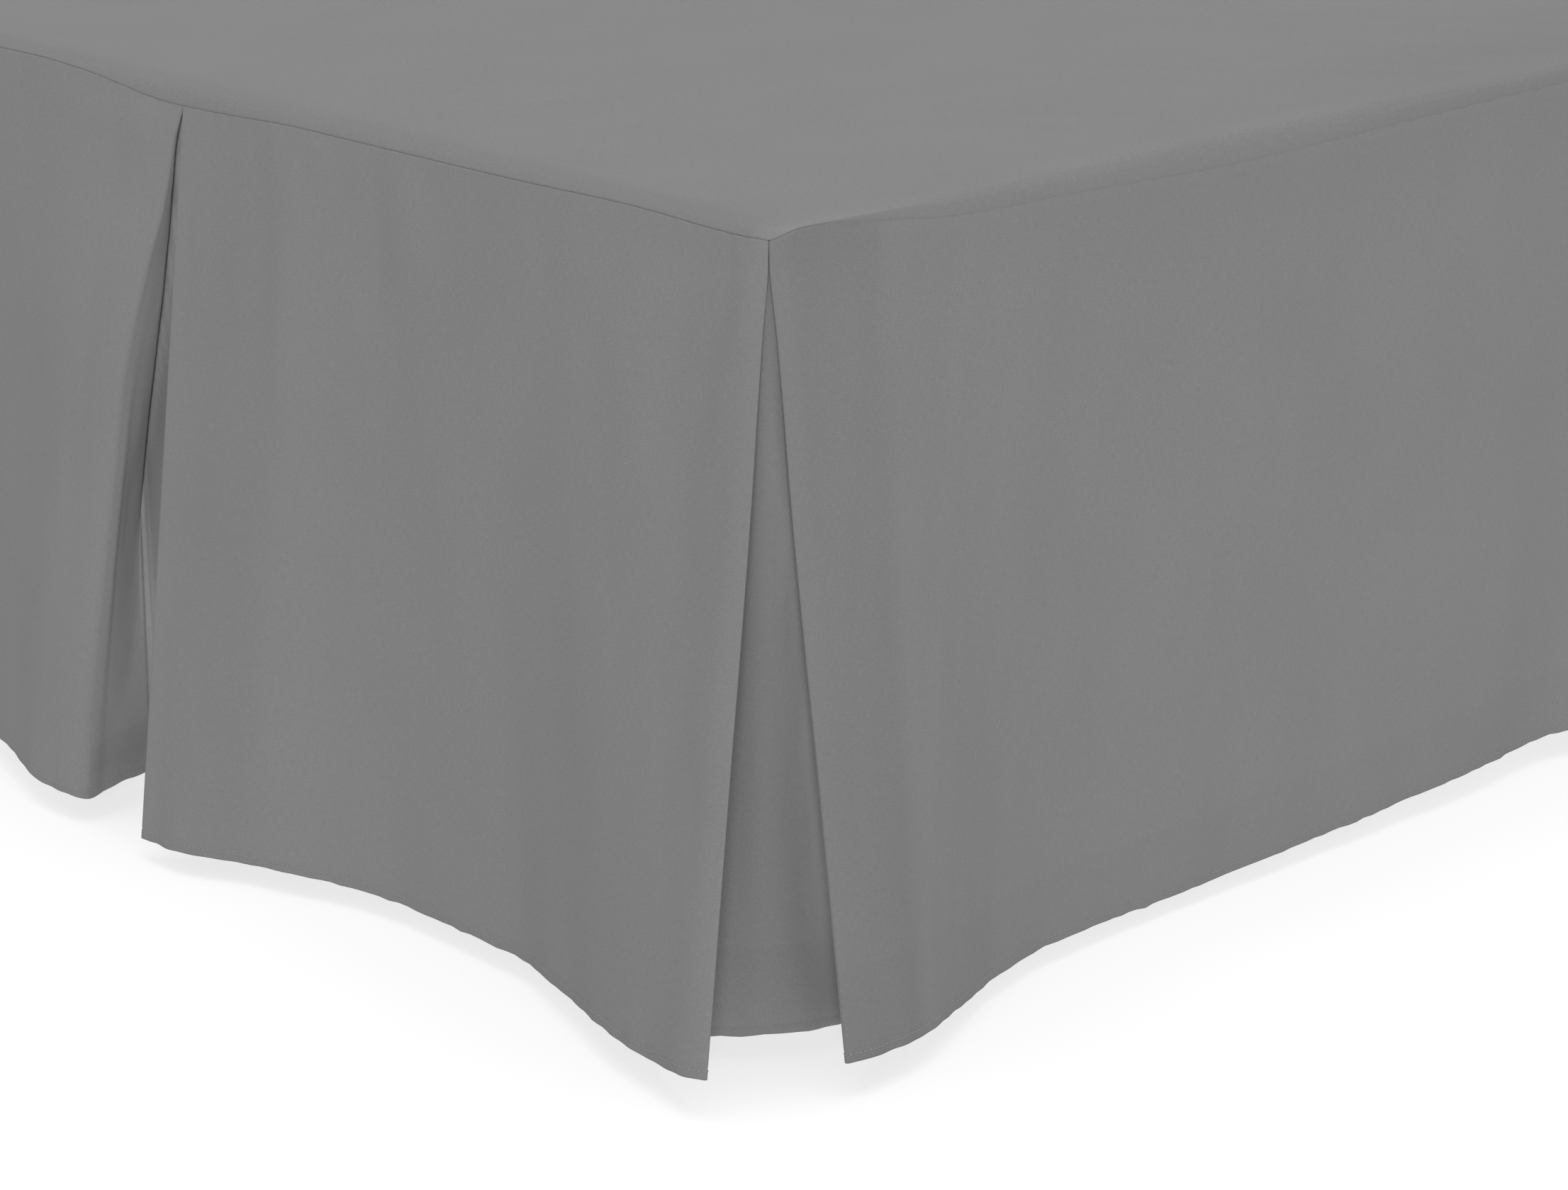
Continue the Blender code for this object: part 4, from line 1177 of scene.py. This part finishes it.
def add_floor():
    look = Look("studio_floor", roughness=1.0, specular=0.0)
    place = look.place()
    haze = look.noise(place, (2.0, 2.0, 2.0), 2.0)
    tone = look.between(haze, 0.3, 0.7, FLOOR_TONE - 0.01, FLOOR_TONE + 0.01)
    look.colour(tone)
    look.shader.inputs["Emission Color"].default_value = (1.0, 1.0, 1.0, 1.0)
    look.shader.inputs["Emission Strength"].default_value = FLOOR_GLOW
    points = np.array([(-1.0, -1.0, 0.0), (1.0, -1.0, 0.0), (1.0, 1.0, 0.0), (-1.0, 1.0, 0.0)]) * FLOOR_REACH
    floor = add_mesh("studio_floor", points, np.array([(0, 1, 2, 3)]), look.material)


def add_camera():
    azimuth, pitch, roll = CAMERA_AZIMUTH, CAMERA_PITCH, CAMERA_ROLL
    level = np.array([math.cos(azimuth), math.sin(azimuth), 0.0])
    forward = np.array([
        -math.sin(azimuth) * math.cos(pitch), math.cos(azimuth) * math.cos(pitch), -math.sin(pitch),
    ])
    upright = np.cross(level, forward)
    right = level * math.cos(roll) + upright * math.sin(roll)
    up = upright * math.cos(roll) - level * math.sin(roll)
    place = CORNER + CAMERA_FROM_CORNER + CENTRE
    data = bpy.data.cameras.new("photo_camera")
    data.sensor_width = SENSOR_WIDTH
    data.sensor_fit = "HORIZONTAL"
    data.lens = CAMERA_LENS
    data.clip_start = 0.05
    camera = bpy.data.objects.new("photo_camera", data)
    bpy.context.scene.collection.objects.link(camera)
    turned = np.stack([right, up, -forward, place], axis=1)
    camera.matrix_world = Matrix([*turned.tolist(), (0.0, 0.0, 0.0, 1.0)])
    bpy.context.scene.camera = camera


def light_room():
    """White surroundings and far soft lamps: overhead, behind the camera, and weaker on each flank."""
    world = bpy.data.worlds.new("studio")
    world.use_nodes = True
    background = world.node_tree.nodes["Background"]
    background.inputs["Color"].default_value = (1.0, 1.0, 1.0, 1.0)
    background.inputs["Strength"].default_value = SKY_STRENGTH
    bpy.context.scene.world = world
    for name, azimuth, height, strength, spread in LAMPS:
        lamp = bpy.data.lights.new(name, "SUN")
        lamp.energy = strength
        lamp.angle = math.radians(spread)
        thing = bpy.data.objects.new(name, lamp)
        bpy.context.scene.collection.objects.link(thing)
        thing.rotation_euler = (math.radians(90.0 - height), 0.0, math.radians(azimuth + 90.0))


add_floor()
light_room()
add_camera()
bpy.context.scene.view_settings.view_transform = "Standard"
bpy.context.scene.view_settings.look = "None"
